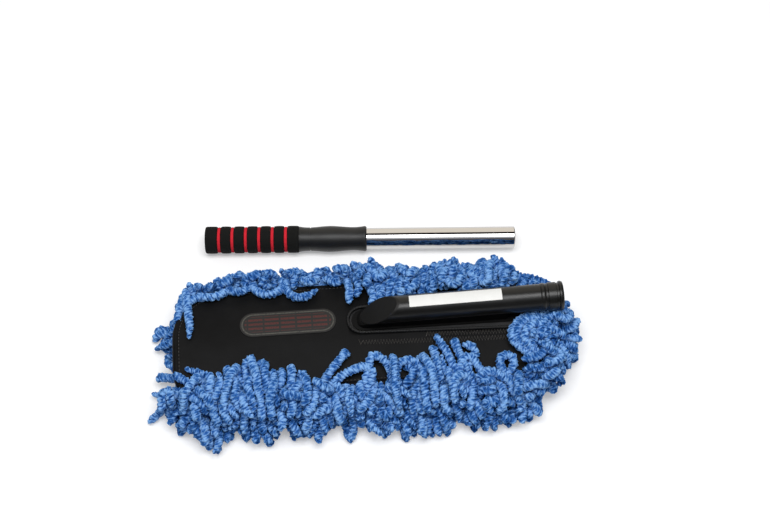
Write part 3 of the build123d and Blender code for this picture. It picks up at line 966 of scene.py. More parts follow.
def lay_over_back():
    """Loops that reach in from the back's edge as far as the socket; half of them turn back."""
    back = COVER_HIGH[1]
    for x in strides(8.0, COVER_HIGH[0] - 6, *BACK_STRIDE):
        inner = rng.uniform(5, 14)
        top = crown_height(inner) + LOOP_RADIUS
        lean = rng.normal(0, 7)
        plan = [
            (0, back + 4, 24),
            (1, back + 1, top - 4),
            (0.5 * lean, back - 9, top + 2),
            (lean, (back + inner) / 2, top + 3),
            (lean + rng.normal(0, 3), inner, top + 1),
        ]
        if rng.random() < TURNING_BACK:
            plan += [(lean + 8, inner + 4, top + 6), (lean + 10, inner + 16, top + 7)]
        yield smooth_path([(x + dx, y, z) for dx, y, z in plan], LINK)


def lay_under():
    """Loops that hang from the base and are pressed flat under it."""
    for x in np.arange(COVER_LOW[0] + 18, COVER_HIGH[0] - 14, UNDER_SPACING):
        for y in np.arange(COVER_LOW[1] + 15, COVER_HIGH[1] - 12, UNDER_SPACING):
            if outline_distance(x, y) > -10:
                continue
            heading = heading_of(rng.uniform(0, math.tau))
            spot = (x + rng.uniform(-4, 4), y + rng.uniform(-4, 4), PILE - LOOP_RADIUS)
            length = rng.uniform(40, 54)
            yield grow(spot, heading, math.radians(-50), length, rng.normal(0, 0.25), 0.05)


# ---------------------------------------------------------------- how they settle
SETTLE_ROUNDS = 45
SEARCH_EVERY = 3           # rounds from one search for close points to the next
FALL = 0.25                # of each point in a round
LOOP_GAP = 4.8             # half the distance that loops keep from each other
PAIR_REACH = 2.4 * LOOP_RADIUS         # points within it are looked at until the next search
PUSH = 0.45                # stiffness between loops
BRACE = 0.3                # against bending
STRETCH = 0.9              # and of the links


def settle(loops, held):
    """Pushes crossing loops apart and lets them sag onto the floor, the cover and each other."""
    sizes = [len(p) for p in loops]
    owner = np.repeat(np.arange(len(loops)), sizes)
    place = np.vstack(loops)
    start = np.concatenate([[0], np.cumsum(sizes)[:-1]])
    order = np.arange(len(place)) - start[owner]
    free = np.where((order < 1) | held[owner], 0.0, 1.0)
    link = np.flatnonzero(owner[1:] == owner[:-1])
    link_length = np.linalg.norm(place[link + 1] - place[link], axis=1)
    brace = np.flatnonzero(owner[2:] == owner[:-2])
    brace_length = np.linalg.norm(place[brace + 2] - place[brace], axis=1)

    def pull(a, b, length, stiffness):
        """Moves points towards being so far apart."""
        gap = place[b] - place[a]
        size = np.maximum(np.linalg.norm(gap, axis=1), TINY)
        share = np.maximum(free[a] + free[b], TINY)
        move = (stiffness * (size - length) / size / share)[:, None] * gap
        np.add.at(place, a, move * free[a][:, None])
        np.add.at(place, b, -move * free[b][:, None])

    for turn in range(SETTLE_ROUNDS):
        if turn % SEARCH_EVERY == 0:
            near = close_pairs(place, owner)
        place[:, 2] -= FALL * free
        gap = place[near[:, 1]] - place[near[:, 0]]
        a, b = near[np.linalg.norm(gap, axis=1) < 2 * LOOP_GAP].T
        pull(a, b, 2 * LOOP_GAP, PUSH)
        pull(brace, brace + 2, brace_length, BRACE)
        for _ in range(2):
            pull(link, link + 1, link_length, STRETCH)
        keep_clear(place, free > 0)
    return [place[a:a + n] for a, n in zip(start, sizes)]


def inside_edge(places):
    """How far each place lies inside the fringe's edge, as its slanting side shows it; negative
    outside."""
    near = [(x, y + SLOPE * LOOP_RADIUS) for x, y in NOSE_TIPS + FRONT_TIPS + END_TIPS]
    edge = np.array(near + BACK_CREST, float)
    seen = places[:, :2] + places[:, 2:3] * [0.0, SLOPE]
    nearest = np.full(len(seen), 1e9)
    crossings = np.zeros(len(seen), int)
    for a, b in zip(edge, np.roll(edge, -1, axis=0)):
        run = b - a
        share = np.clip((seen - a) @ run / np.dot(run, run), 0, 1)
        nearest = np.minimum(nearest, np.linalg.norm(seen - a - share[:, None] * run, axis=1))
        spans = (a[1] > seen[:, 1]) != (b[1] > seen[:, 1])
        level = a[0] + (seen[:, 1] - a[1]) * run[0] / (run[1] or 1e-9)
        crossings += spans & (seen[:, 0] < level)
    inside = np.where(crossings % 2 == 1, nearest, -nearest)
    return np.minimum(inside, BACK_WALL + LOOP_RADIUS - places[:, 1])


def trim(path, margin):
    """A loop cut short where it would pass the fringe's edge."""
    past = np.flatnonzero(inside_edge(path)[2:] < margin)
    return path[:past[0] + 2] if len(past) else path


def tree_of(points):
    tree = kdtree.KDTree(len(points))
    for i, point in enumerate(points):
        tree.insert(point, i)
    tree.balance()
    return tree


PILE_PATCH = 7.0           # radius round a point that the pile's top is looked up in
BURIED_FROM = 3.0          # under the top; a loop is wholly buried BURIED_OVER deeper
BURIED_OVER = 14.0


def add_buried(paths):
    """Adds to each point of the loops how deep it lies in the pile, from 0 to 1, which sets the painted shade down
    in the pile.
    """
    place = np.vstack(paths)
    flat = place * [1.0, 1.0, 0.0]
    tree = tree_of(flat)
    tops = [
        np.sort([place[i, 2] for _, i, _ in tree.find_range(point, PILE_PATCH)])[-3:].mean()
        for point in flat
    ]
    depth = np.clip((np.array(tops) - place[:, 2] - BURIED_FROM) / BURIED_OVER, 0, 1)
    cuts = np.cumsum([len(path) for path in paths])[:-1]
    return np.split(np.column_stack([place, depth]), cuts)


def close_pairs(place, owner):
    """Pairs of points, not neighbours on one loop, that may touch."""
    tree = tree_of(place)
    pairs = [
        (i, j)
        for i, point in enumerate(place)
        for _, j, _ in tree.find_range(point, PAIR_REACH)
        if i < j and (owner[i] != owner[j] or j - i > 2)
    ]
    return np.array(pairs)


SOCKET_CLEAR = 13.2        # radius round the socket's line
SOCKET_REACH = (-130.0, 66.0)
BARE_ABOVE = 32.0          # the loops that are higher keep off the bare spots


def push_out(place, away, clear, where):
    """Moves the places that are too near to a line or a point out along their offsets from it."""
    size = np.maximum(np.linalg.norm(away, axis=1), TINY)
    hit = where & (size < clear)
    place[hit, :away.shape[1]] += away[hit] * ((clear - size[hit]) / size[hit])[:, None]


def keep_clear(place, free):
    """Moves points out of the floor, the cover, the socket and the bare spots."""
    x, y, z = place.T
    depth = LOOP_RADIUS - outline_distance(x, y)
    up = crown_height(np.clip(y, COVER_LOW[1], COVER_HIGH[1])) + LOOP_RADIUS - z
    down = z - PILE + LOOP_RADIUS
    inside = free & (depth > 0) & (up > 0) & (down > 0)
    least = np.minimum(np.minimum(up, down), depth)
    rise = inside & (up == least)
    sink = inside & (down == least) & ~rise
    out = inside & ~rise & ~sink
    place[rise, 2] += up[rise]
    place[sink, 2] -= down[sink]
    slopes = [
        outline_distance(x[out] + dx, y[out] + dy) - outline_distance(x[out] - dx, y[out] - dy)
        for dx, dy in ((0.5, 0.0), (0.0, 0.5))
    ]
    place[out, :2] += np.transpose(slopes * depth[out])
    place[free, 2] = np.maximum(place[free, 2], LOOP_RADIUS)
    along = (place - SOCKET_MIDDLE) @ SOCKET_AXIS
    away = place - SOCKET_MIDDLE - along[:, None] * SOCKET_AXIS
    beside = (along > SOCKET_REACH[0]) & (along < SOCKET_REACH[1])
    push_out(place, away, SOCKET_CLEAR + LOOP_RADIUS, free & beside)
    for x, y, radius in BARE_SPOTS:
        above = place[:, 2] > BARE_ABOVE
        push_out(place, place[:, :2] - (x, y), radius + LOOP_RADIUS, free & above)


# ---------------------------------------------------------------- the loops themselves
YARN_STEP = 0.7         # between the points of a yarn
UNDER_STEP = 1.7        # the same for the loops under the base, which are hardly seen
YARN_OFFSET = 2.0       # the yarn's distance from the loop's centre line
YARN_RADIUS = 2.35
YARN_SIDES = 8
TWIST = 7.6             # length of one turn of a loop's two halves round each other
PACE_SPAN = 13          # points that the twist's unevenness is averaged over
TIP_TAPER = 11.0        # how far back from its tip a loop swells or thins
PLIES = 4
PLY_TWIST = 12.0        # length of one turn of the plies in a yarn
PLY_RELIEF = 0.13
KNOB = 2.9              # length of a knob along a yarn
KNOB_RELIEF = 0.15
STRAY = 0.35            # random turn of the plies and the knobs at each point
PLY_SHARE, REACH_SHARE = 0.6, 0.5      # of the painted light and shade of a crest: its height on its ply, and on the loop
PRESSED = 0.02          # height that the loops are pressed flat to, where they lie on the floor
BURIED_SHADE = 0.8       # painted shade: how much darker the loops at the bottom of the pile are
TRIM_TIPS, TRIM = 1.0, 3.2         # how far inside the fringe's edge loops are cut
ROUND_END = BACK_CORNER * 0.6      # length of the fringe's stretches at the nose and the end


def yarn_of(path, step):
    """The one yarn of a twisted loop, out along the centre line, round its tip and back, with the
    point of the centre line beside each of its points, its thickness and how buried it is there."""
    line = smooth_path(path, step)
    buried = line[:, 3]
    line = line[:, :3]
    ahead = np.gradient(line, axis=0)
    ahead /= np.linalg.norm(ahead, axis=1)[:, None]
    side = unit(np.cross(ahead[0], [0.3, 0.2, 1.0]))
    pace = rng.uniform(0.85, 1.2)
    uneven = rng.normal(0, 0.5, len(line) + PACE_SPAN - 1)
    pace = pace + np.convolve(uneven, np.ones(PACE_SPAN) / PACE_SPAN, "valid")
    angles = rng.uniform(0, math.tau) + np.cumsum(pace) * math.tau * step / TWIST
    from_tip = np.arange(len(line))[::-1] * step
    swell = rng.choice([0.1, 0.06, 0.0, -0.12, -0.4])
    slim = 1.0 + swell * np.clip(1.0 - from_tip / TIP_TAPER, 0, 1)
    first, second = [], []
    for point, forward, angle, scale in zip(line, ahead, angles, slim):
        side = unit(side - forward * np.dot(side, forward))
        offset = side * math.cos(angle) + np.cross(forward, side) * math.sin(angle)
        first.append(point + offset * YARN_OFFSET * scale)
        second.append(point - offset * YARN_OFFSET * scale)
    across = (first[-1] - second[-1]) / 2
    tip = [
        line[-1] + across * math.cos(a) + ahead[-1] * YARN_OFFSET * math.sin(a)
        for a in np.linspace(0, math.pi, 5)[1:-1]
    ]
    yarn = np.array(first + tip + second[::-1])
    there_and_back = [
        np.concatenate([values, np.repeat(values[-1:], len(tip), axis=0), values[::-1]])
        for values in (line, slim, buried)
    ]
    return yarn, *there_and_back


def plied_radius(angle):
    return YARN_RADIUS * (1.0 + PLY_RELIEF * math.cos(PLIES * angle))


def fringe_piece(name, paths, finish):
    """Loops of one stretch of the fringe, as one mesh."""
    step = UNDER_STEP if name.startswith("under") else YARN_STEP
    profile = section("yarn_section", YARN_SIDES, plied_radius)
    yarns, tilts, swells, beside, tones_and_pile_shade = [], [], [], [], []
    for path in paths:
        yarn, centre, thickness, buried = yarn_of(path, step)
        walk = np.arange(len(yarn)) * step
        stray = np.cumsum(rng.normal(0, STRAY, (2, len(yarn))), axis=1)
        yarns.append(yarn)
        tilts.append(math.tau * walk / PLY_TWIST + stray[0])
        swells.append(thickness * (1.0 + KNOB_RELIEF * np.sin(math.tau * walk / KNOB + stray[1])))
        beside.append(np.repeat(np.column_stack([yarn, centre, thickness]), YARN_SIDES, axis=0))
        # random tone of each loop, with painted shade where it lies deep in the pile
        tones_and_pile_shade.append(np.repeat(rng.uniform(0, 1) - BURIED_SHADE * buried, YARN_SIDES))
    mesh = swept("loops_" + name, yarns, profile, tilts, swells)
    drop(profile)
    places = np.empty(len(mesh.vertices) * 3, np.float32)
    mesh.vertices.foreach_get("co", places)
    places = places.reshape(-1, 3) / MM
    caps = len(places) - sum(len(b) for b in beside)       # the end faces' places come first
    beside = np.vstack([np.column_stack([places[:caps], places[:caps], np.ones(caps)]), *beside])
    thickness = beside[:, 6]
    # crest_light_and_shade: painted shade between the plies and between a loop's two yarns, painted highlight on
    # their crests
    from_yarn = np.linalg.norm(places - beside[:, :3], axis=1) / YARN_RADIUS / thickness
    from_centre = np.linalg.norm(places - beside[:, 3:6], axis=1) / thickness
    relief = PLY_RELIEF + KNOB_RELIEF
    ply = (from_yarn - 1.0 + relief) / (2 * relief)
    reach = (from_centre - 1.0) / (YARN_OFFSET + YARN_RADIUS - 1.0)
    crest_light_and_shade = PLY_SHARE * np.clip(ply, 0, 1) + REACH_SHARE * np.clip(reach, 0, 1)
    tone_and_pile_shade = np.concatenate([np.full(caps, 0.5), *tones_and_pile_shade])
    for label, values in (("crest_light_and_shade", np.clip(crest_light_and_shade, 0, 1)), ("tone_and_pile_shade", tone_and_pile_shade)):
        layer = mesh.attributes.new(label, "FLOAT", "POINT")
        layer.data.foreach_set("value", values.astype(np.float32))
    places[:, 2] = np.maximum(places[:, 2], PRESSED)
    mesh.vertices.foreach_set("co", (places * MM).ravel())
    close_ends(mesh)
    stands_for = FRINGE_NODES.get(name, [])
    return piece_from("loops_" + name, mesh, "cover", finish, stands_for)


def region(point):
    """Stretch of the fringe that a loop belongs to, from the point that it is sewn at."""
    if point[0] < COVER_LOW[0] + ROUND_END:
        return "nose"
    if point[0] > COVER_HIGH[0] - ROUND_END:
        return "end"
    quarter = int(4 * (point[0] - COVER_LOW[0]) / (COVER_HIGH[0] - COVER_LOW[0]))
    return ("front_" if point[1] < COVER_MIDDLE[1] else "back_") + "abcd"[quarter]


FRINGE_NODES = {
    "under_a": ["fringe_under"],
    "nose": ["fringe_nose"],
    "end": ["fringe_end"],
    "front_a": ["fringe_front"],
    "back_a": ["fringe_back"],
}


def make_fringe(finish):
    """Every loop, laid, settled together and made in stretches of the fringe."""
    strays = [smooth_path(points, LINK) for points in STRAY_LOOPS]
    over = [*lay_over_front(), *lay_over_back(), *lay_at_mouth()]
    tips = [*lay_tips()]
    edge = [*lay_combed(), *lay_rows()]
    under = [*lay_under()]
    loops = strays + tips + over + edge + under
    tips_from, over_from = len(strays), len(strays) + len(tips)
    held = np.zeros(len(loops), bool)
    held[:tips_from] = True
    held[tips_from:over_from:2] = True                      # the lower loop of each tip
    stretches = {}
    for i, path in enumerate(add_buried(settle(loops, held))):
        if not held[i]:
            path = trim(path, TRIM_TIPS if i < over_from else TRIM)
        if len(path) < 3:
            continue
        name = region(path[0])
        if i >= len(loops) - len(under):
            name = "under_a" if path[0][0] < COVER_MIDDLE[0] else "under_b"
        stretches.setdefault(name, []).append(path)
    return [fringe_piece(name, paths, finish) for name, paths in sorted(stretches.items())]


# ---------------------------------------------------------------- the cloth cover
CLOTH = 1.6                # thickness
HEM_ROUND = 0.4            # of the base cloth's edges
SHARP = 1.2                # edges with a greater angle are rounded
COVER_STEP, BASE_STEP = 2.6, 4.0       # between the points round the cover and its base
RIM_ROLL = 4.0
SEAM_INSET = 5.0
EDGE_BAND = 10.0           # rows nearer to the edge than this keep their distance from it
SAG_RISE = 8.0             # the sag grows over this length from the seam
BADGE_LOW, BADGE_HIGH = corners("badge_patch")
BADGE_CALM = 18.0          # the cloth lies flatter than elsewhere so near to the badge


def sag(x, y):
    """How far the cloth of the top lies under its tight shape; none at the badge."""
    soft = noise.fractal((x / 46.0, y / 30.0, 0.3), 0.7, 2.0, 3)
    fold = noise.noise(((x + 0.8 * y) / 15.0, (y - 0.2 * x) / 60.0, 5.0))
    dx = max(BADGE_LOW[0] - x, x - BADGE_HIGH[0], 0)
    dy = max(BADGE_LOW[1] - y, y - BADGE_HIGH[1], 0)
    return min(math.hypot(dx, dy) / BADGE_CALM, 1.0) * (0.55 + 0.55 * soft + 0.3 * fold)


def cover_profile():
    """Rows of the cover from the base up the side and in over the top: how far in each is from
    the edge, and its height, either as a share of the side's or as a drop under the top."""
    side = [(0.3, 0.0, None), (0.0, 0.35, None), (0.0, 0.7, None), (0.0, 1.0, None)]
    rolls = [math.radians(angle) for angle in (22, 45, 68, 90)]
    roll = [(RIM_ROLL * (1 - math.cos(a)), None, RIM_ROLL * (1 - math.sin(a))) for a in rolls]
    seam = [(SEAM_INSET + d, None, dip) for d, dip in ((-0.5, 0.05), (0, 0.75), (0.5, 0.05))]
    top = [(inset, None, 0.0) for inset in (6.2, 7.4, 9.5, 12.5, 16, 20, 25, 30, 35, 40, 45, 49)]
    return side + roll + seam + top


def cover_place(point, normal, inset, climb, drop_by):
    """Place on the cover, so far in from a point of its outline."""
    rim = crown_height(point[1])
    spot = point - normal * inset
    if inset >= EDGE_BAND:
        reach = COVER_HALF[0] - COVER_HALF[1]
        along = np.clip(point[0] - COVER_MIDDLE[0], -reach, reach)
        spine = np.array([COVER_MIDDLE[0] + along, COVER_MIDDLE[1]])
        spot = point + (spine - point) * (inset / COVER_HALF[1])
    if climb is not None:
        height = PILE + climb * (rim - RIM_ROLL - PILE)
    elif inset < SEAM_INSET:
        height = rim - drop_by
    else:
        sunk = sag(*spot) * min((inset - SEAM_INSET) / SAG_RISE, 1)
        height = crown_height(spot[1]) - drop_by - sunk
    return spot[0] * MM, spot[1] * MM, height * MM


def ring_edges(mesh, ring):
    verts = set(ring)
    return [e for e in mesh.edges if e.verts[0] in verts and e.verts[1] in verts]


def next_ring(mesh, ring):
    """Extrudes a ring's edges, and gives the new vertices in the old ones' order."""
    fresh = set(new_verts(bmesh.ops.extrude_edge_only(mesh, edges=ring_edges(mesh, ring))))
    return [next(e.other_vert(v) for e in v.link_edges if e.other_vert(v) in fresh) for v in ring]


def make_cover(finish):
    """Top and side of the slip cover, with its seam, its slot and its open mouth."""
    points, normals = cover_outline(COVER_STEP)
    mesh = bmesh.new()
    ring = []
    for row in cover_profile():
        ring = next_ring(mesh, ring) if ring else ring_of(mesh, points, PILE)
        for vert, point, normal in zip(ring, points, normals):
            vert.co = cover_place(point, normal, *row)
    cap = bmesh.ops.contextual_create(mesh, geom=ring_edges(mesh, ring))["faces"][0]
    bmesh.ops.recalc_face_normals(mesh, faces=mesh.faces)
    mesh.normal_update()
    if cap.normal.z < 0:
        bmesh.ops.reverse_faces(mesh, faces=mesh.faces)
    bmesh.ops.triangulate(mesh, faces=[cap])
    holder = place_object("cover_blank", mesh_data("cover_cloth", mesh))
    wall = holder.modifiers.new("wall", "SOLIDIFY")
    wall.thickness = CLOTH * MM
    wall.offset = -1.0
    cutters = [slot_cutter(), mouth_cutter()]
    for cutter in cutters:
        cut = holder.modifiers.new(cutter.name, "BOOLEAN")
        cut.operation = "DIFFERENCE"
        cut.object = cutter
        cut.solver = "MANIFOLD"
    cloth = take_mesh(holder)
    for cutter in cutters:
        drop(cutter)
    cloth.shade_smooth()
    replaced = ["cover_top", "cover_rim"]
    return piece_from("cover_cloth", cloth, "cover", finish, replaced)


BINDING_RADIUS = (BINDING_HIGH[2] - BINDING_LOW[2]) / 2
SLOT_TIP = BINDING_LOW[0] + BINDING_RADIUS
SLOT_MOUTH = BINDING_HIGH[0]
SLOT_HALF = 14.0           # half width at the slot's tip
CUT_PAST = 30.0            # the cutters go so far past the mouth
CUT_ABOVE = 20.0           # and past the top
PLATE_GAP = 0.3            # beside the frame, in the mouth


def slot_line(spread=0.0, step=1.0):
    """Points along the slot's edge, from the mouth round the tip and back, seen from above;
    spread moves the line out from the edge."""
    mouth_half = (BINDING_HIGH[1] - BINDING_LOW[1]) / 2 - BINDING_RADIUS
    centre = np.array([SLOT_TIP + SLOT_HALF, SOCKET_Y])
    lean = math.atan2(mouth_half - SLOT_HALF, SLOT_MOUTH - centre[0])
    run = (SLOT_MOUTH - centre[0]) / math.cos(lean)
    arc = SLOT_HALF * (math.pi - 2 * lean)
    points = []
    for walk in np.arange(0, 2 * run + arc, step):
        round_tip = min(max(walk - run, 0), arc)
        back = max(run - walk, walk - run - arc, 0.0)
        normal = heading_of(-math.pi / 2 - lean - round_tip / SLOT_HALF)
        along = np.array([math.cos(lean), math.copysign(math.sin(lean), normal[1])])
        points.append(centre + normal * (SLOT_HALF + spread) + along * back)
    return np.array(points)


def cutter(name, outline, start):
    return place_object(name, mesh_data(name, prism(outline, start, CROWN + CUT_ABOVE)))


def slot_cutter():
    points = slot_line(step=2.0)
    past = [(SLOT_MOUTH + CUT_PAST, points[i][1]) for i in (-1, 0)]
    return cutter("slot_cutter", [*points, *past], PILE + 4)


def mouth_cutter():
    """Opens the cover past the top panel, and its side as far as the frame needs."""
    low, high = corners("frame_plate")
    far = SLOT_MOUTH + CUT_PAST
    near_y, far_y = low[1] - PLATE_GAP, high[1] + PLATE_GAP
    outline = [(SLOT_MOUTH, near_y), (far, near_y), (far, far_y), (SLOT_MOUTH, far_y)]
    return cutter("mouth_cutter", outline, PILE - 5)


def make_base(finish):
    """Base cloth that carries the loops."""
    points, normals = cover_outline(BASE_STEP)
    mesh = prism(points - normals * CLOTH, BASE_TOP, PILE)
    rims = [
        e for e in mesh.edges
        if len(e.link_faces) == 2 and e.calc_face_angle(0) > SHARP
        and abs(e.verts[0].co.z - e.verts[1].co.z) < TINY
    ]
    roll = {"offset": HEM_ROUND * MM, "segments": 2, "profile": 0.5, "material": -1}
    bmesh.ops.bevel(mesh, geom=rims, affect="EDGES", **roll)
    data = mesh_data("base_cloth", mesh)
    return piece_from("base_cloth", data, "cover", finish, ["cover_base"])


TAPE_STEP = 0.8
TAPE_SIDES = 16
TAPE_TURN = 11.0           # length of one turn of the tape's four ridges
PUCKER, PUCKER_DRIFT = 3.6, 4.7        # lengths of the puckers and of their unevenness
THREAD = 0.34              # radius
THREAD_LIFT = 0.25         # of the overlock's centre line over the cloth
ZIGZAG_STEP = 1.4
# Rows of overlock: how far out from the slot's edge they start and end, and from which x on.
OVERLOCK = [(1.3, 5.9, 60.0), (7.6, 12.2, SLOT_TIP + 8)]
STITCH = 1.8               # length, and the gap after it
STITCH_DIP, STITCH_LIFT = 0.15, 0.16
STITCH_INSET = SEAM_INSET + CLOTH


def surface_of(piece):
    """Function that gives the height of a piece's top at a place seen from above."""
    tree = bvhtree.BVHTree.FromObject(piece, bpy.context.evaluated_depsgraph_get())

    def height(x, y):
        hit = tree.ray_cast(Vector((x * MM, y * MM, 1.0)), Vector((0, 0, -1)))[0]
        return hit.z / MM if hit else None

    return height


def tape_radius(angle):
    return BINDING_RADIUS * (0.93 + 0.07 * math.cos(4 * angle))


def make_binding(finish):
    """Rolled tape round the slot, wound over and puckered by its stitches."""
    points = slot_line(step=TAPE_STEP)
    height = (BINDING_LOW[2] + BINDING_HIGH[2]) / 2
    path = np.column_stack([points, np.full(len(points), height)])
    walk = np.arange(len(path)) * TAPE_STEP
    pucker = 0.90 + 0.09 * np.sin(math.tau * walk / PUCKER) + 0.02 * np.sin(walk / PUCKER_DRIFT)
    tilt = math.tau * walk / TAPE_TURN
    tape = section("tape_section", TAPE_SIDES, tape_radius)
    piece = sewn_piece(
        "slot_tape", [path], tape, finish, ["slot_binding"], [tilt], [pucker])
    drop(tape)
    return piece


def zigzag(height, inner, outer, start):
    """Points of a row of overlock on the front side of the slot."""
    near = slot_line(inner, ZIGZAG_STEP)
    far = slot_line(outer, ZIGZAG_STEP)
    row = []
    for i in range(2, min(len(near), len(far)) - 2):
        x, y = near[i] if i % 2 else far[min(round(i * len(far) / len(near)), len(far) - 1)]
        z = height(x, y)
        if z is not None and x > start and y < SOCKET_Y:
            row.append((x, y, z + THREAD_LIFT))
    return np.array(row)


def running_stitches(height):
    """Short stitches along the top panel's seam; each dips into the cloth at both ends."""
    points, normals = cover_outline(STITCH)
    line = points - normals * STITCH_INSET
    stitches = []
    for a, b in zip(line[:-1:2], line[1::2]):
        tops = [height(*a), height(*b)]
        if a[0] > SLOT_MOUTH - 3 or None in tops:
            continue
        stitches.append(np.array([
            (*a, tops[0] - STITCH_DIP),
            (*(0.75 * a + 0.25 * b), tops[0] + STITCH_LIFT),
            (*(0.25 * a + 0.75 * b), tops[1] + STITCH_LIFT),
            (*b, tops[1] - STITCH_DIP),
        ]))
    return stitches


def make_stitches(cover, pale, dark):
    """Overlock beside the slot, and the running stitch of the top panel's seam."""
    height = surface_of(cover)
    thread = section("thread_section", 5, lambda a: THREAD)
    rows = [zigzag(height, *row) for row in OVERLOCK]
    pieces = [
        sewn_piece("overlock_thread", rows, thread, pale),
        sewn_piece("seam_stitches", running_stitches(height), thread, dark),
    ]
    drop(thread)
    return pieces


# ---------------------------------------------------------------- the foam grip
FOAM_BORE = 9.5
FOAM_TURNS = 64
# By the start of the node's name: the slot, how much shorter and thinner the visible tube is than
# its solid, the radius of its shoulders, and how far it bulges.
GRIP_PARTS = {
    "foam_": ("grip_foam", 0.0, 0.15, 1.5, 0.15),
    "red_ring_": ("grip_stripe", 0.02, 0.2, 0.5, 0.2),
}


def spun(name, outline):
    """Solid of revolution about the handle's axis from (distance from the grip's end, radius)
    corners of a closed outline."""
    axis = Vector(HANDLE_AXIS)
    origin = Vector(GRIP_END)
    mesh = bmesh.new()
    ring = bmesh.ops.create_circle(mesh, segments=len(outline), radius=1.0)["verts"]
    for vert, (walk, radius) in zip(ring, outline):
        vert.co = (origin + axis * walk + Vector((0, 0, 1)) * radius) * MM
    turn = {"cent": origin * MM, "axis": axis, "angle": math.tau, "steps": FOAM_TURNS}
    bmesh.ops.spin(mesh, geom=[*mesh.verts, *mesh.edges], use_merge=True, **turn)
    bmesh.ops.recalc_face_normals(mesh, faces=mesh.faces)
    data = mesh_data(name, mesh)
    data.shade_smooth()
    return data


def foam_outline(start, end, radius, shoulder, belly):
    """Ring section with rounded shoulders and a slight belly."""
    rim = [
        (start + shoulder * (1 - math.cos(a)), radius - shoulder * (1 - math.sin(a)))
        for a in np.radians([0, 25, 50, 75])
    ]
    flat = end - start - 2 * shoulder
    middle = [
        (start + shoulder + flat * t, radius + belly * math.sin(math.pi * t))
        for t in (0.0, 0.2, 0.4, 0.6, 0.8, 1.0)
    ]
    far_rim = [(start + end - walk, r) for walk, r in rim[::-1]]
    return [(start, FOAM_BORE), *rim, *middle, *far_rim, (end, FOAM_BORE)]


def along_handle(node):
    """Where a CAD node starts and ends along the handle, and its radius."""
    low, high = corners(node)
    radius = (high[2] - low[2]) / 2
    across = 2 * radius * abs(HANDLE_AXIS[1])
    start = (low[0] - GRIP_END[0] + across / 2) / HANDLE_AXIS[0]
    end = (high[0] - GRIP_END[0] - across / 2) / HANDLE_AXIS[0]
    return start, end, radius


def make_grip(finishes):
    """Foam tubes and the red rings between them; finishes are given by slot."""
    for node in list(frame["nodes"]):
        for prefix, (slot, shorter, thinner, shoulder, belly) in GRIP_PARTS.items():
            if not node.startswith(prefix):
                continue
            start, end, radius = along_handle(node)
            ends = (start + shorter, end - shorter)
            data = spun(node, foam_outline(*ends, radius - thinner, shoulder, belly))
            piece = piece_from("grip_" + node, data, "grip", finishes[slot], [node])


# ---------------------------------------------------------------- floor and studio
FLOOR_HALF = 12.0          # metres
PAPER_GLOW = 0.3           # of the floor, where the camera or a mirror looks at it


def add_floor():
    mesh = bmesh.new()
    bmesh.ops.create_grid(mesh, x_segments=1, y_segments=1, size=FLOOR_HALF)
    data = mesh_data("floor", mesh)
    paper = {"colour": (0.74, 0.74, 0.74), "Roughness": 0.95, "Emission_Strength": 1.0}
    f = Finish("floor_paper", specular=0.1, **paper)
    rays = ["Is Camera Ray", "Is Glossy Ray", "Is Transmission Ray"]
    camera, glossy, through = f.outputs("ShaderNodeLightPath", rays)
    seen = (camera + glossy + through).least(1.0)
    f.feed("Emission Color", f.blend(seen, (0.0, 0.0, 0.0), (PAPER_GLOW,) * 3))
    data.materials.append(f.material)
    place_object("floor", data)


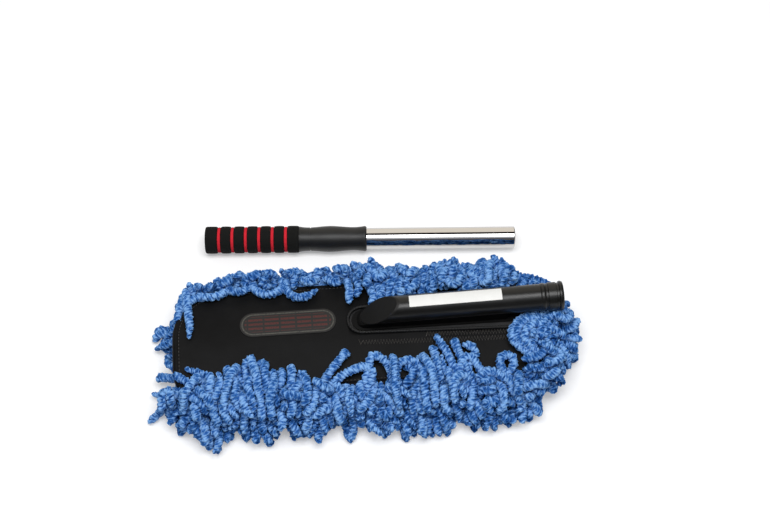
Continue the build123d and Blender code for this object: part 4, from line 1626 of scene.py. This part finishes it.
def add_studio():
    """White room: cream behind, a dark gap overhead, and a dim front for what reflects it."""
    world = bpy.data.worlds.new("studio")
    world.use_nodes = True
    bpy.context.scene.world = world
    w = Web(world.node_tree)
    x, y, z = w.axes(w.node("ShaderNodeTexCoord", {}, output="Generated"))
    turn = z.bearing(0.0 - y) * (180 / math.pi)
    front = w.blend(turn.fade(44.0, 56.0), (0.10, 0.10, 0.11), (0.75, 0.78, 0.84))
    back = w.blend(turn.fade(112.0, 118.0), (0.02, 0.018, 0.016), (1.10, 1.02, 0.90))
    across = w.blend(turn.fade(90.0, 93.0), front, back)
    room = w.blend(abs(x).fade(0.25, 0.5), across, (0.12, 0.12, 0.12))
    glossy = w.node("ShaderNodeLightPath", {}, output="Is Glossy Ray")
    colour = w.blend(glossy, (0.40, 0.40, 0.40), room)
    background = world.node_tree.nodes["Background"]
    world.node_tree.links.new(colour.socket, background.inputs["Color"])


bpy.context.scene.view_settings.view_transform = "Standard"
add_camera()
add_floor()
add_studio()
add_softbox(place=(0.0, -0.26, 1.84), aim=(0.0, 0.05, 0.0), size=(1.6, 0.8), watts=28.0)

cotton = twisted_cotton()
cloth = cover_cloth()
pale_thread = sewing_thread("overlock_thread", (0.03, 0.027, 0.024), (0.085, 0.074, 0.062))
dark_thread = sewing_thread("seam_thread", (0.012, 0.010, 0.009), (0.03, 0.026, 0.024))
loops = make_fringe(cotton)
cover = make_cover(cloth)
base = make_base(cloth)
tape = make_binding(binding_tape())
stitches = make_stitches(cover, pale_thread, dark_thread)
make_grip({
    "grip_foam": cell_foam("black_foam", (0.0042, 0.0042, 0.004), (0.0115, 0.0118, 0.0108)),
    "grip_stripe": cell_foam("red_foam", (0.5, 0.012, 0.022), (0.8, 0.03, 0.05)),
})
pale = nylon()
for node, finish in {
    "badge_patch": printed_badge(),
    "handle_socket": socket_plastic(),
    # painted shade: the skirt's black is darker than the socket's, for the shade under the tube and the binding
    "socket_skirt": moulded_black("skirt_plastic", (0.003, 0.003, 0.003), 0.62, specular=0.1),
    "frame_plate": moulded_black("frame_plastic", (0.012, 0.012, 0.013), 0.5),
    "label": label_paper(),
    "outer_tube": bright_chrome(),
    "inner_tube": drawn_steel("inner_steel", (0.6, 0.6, 0.61), 0.15),
    "stop_clip": drawn_steel("clip_steel", (0.4, 0.4, 0.41), 0.3),
    "collar": moulded_black("collar_plastic", (0.0085, 0.0085, 0.0085), 0.42),
    "end_plug": moulded_black("plug_plastic", (0.014, 0.014, 0.015), 0.45),
    "guide_bush": pale,
    "lock_stud": pale,
    "lock_sleeve": pale,
    "lock_cone": pale,
}.items():
    paint(node, finish)
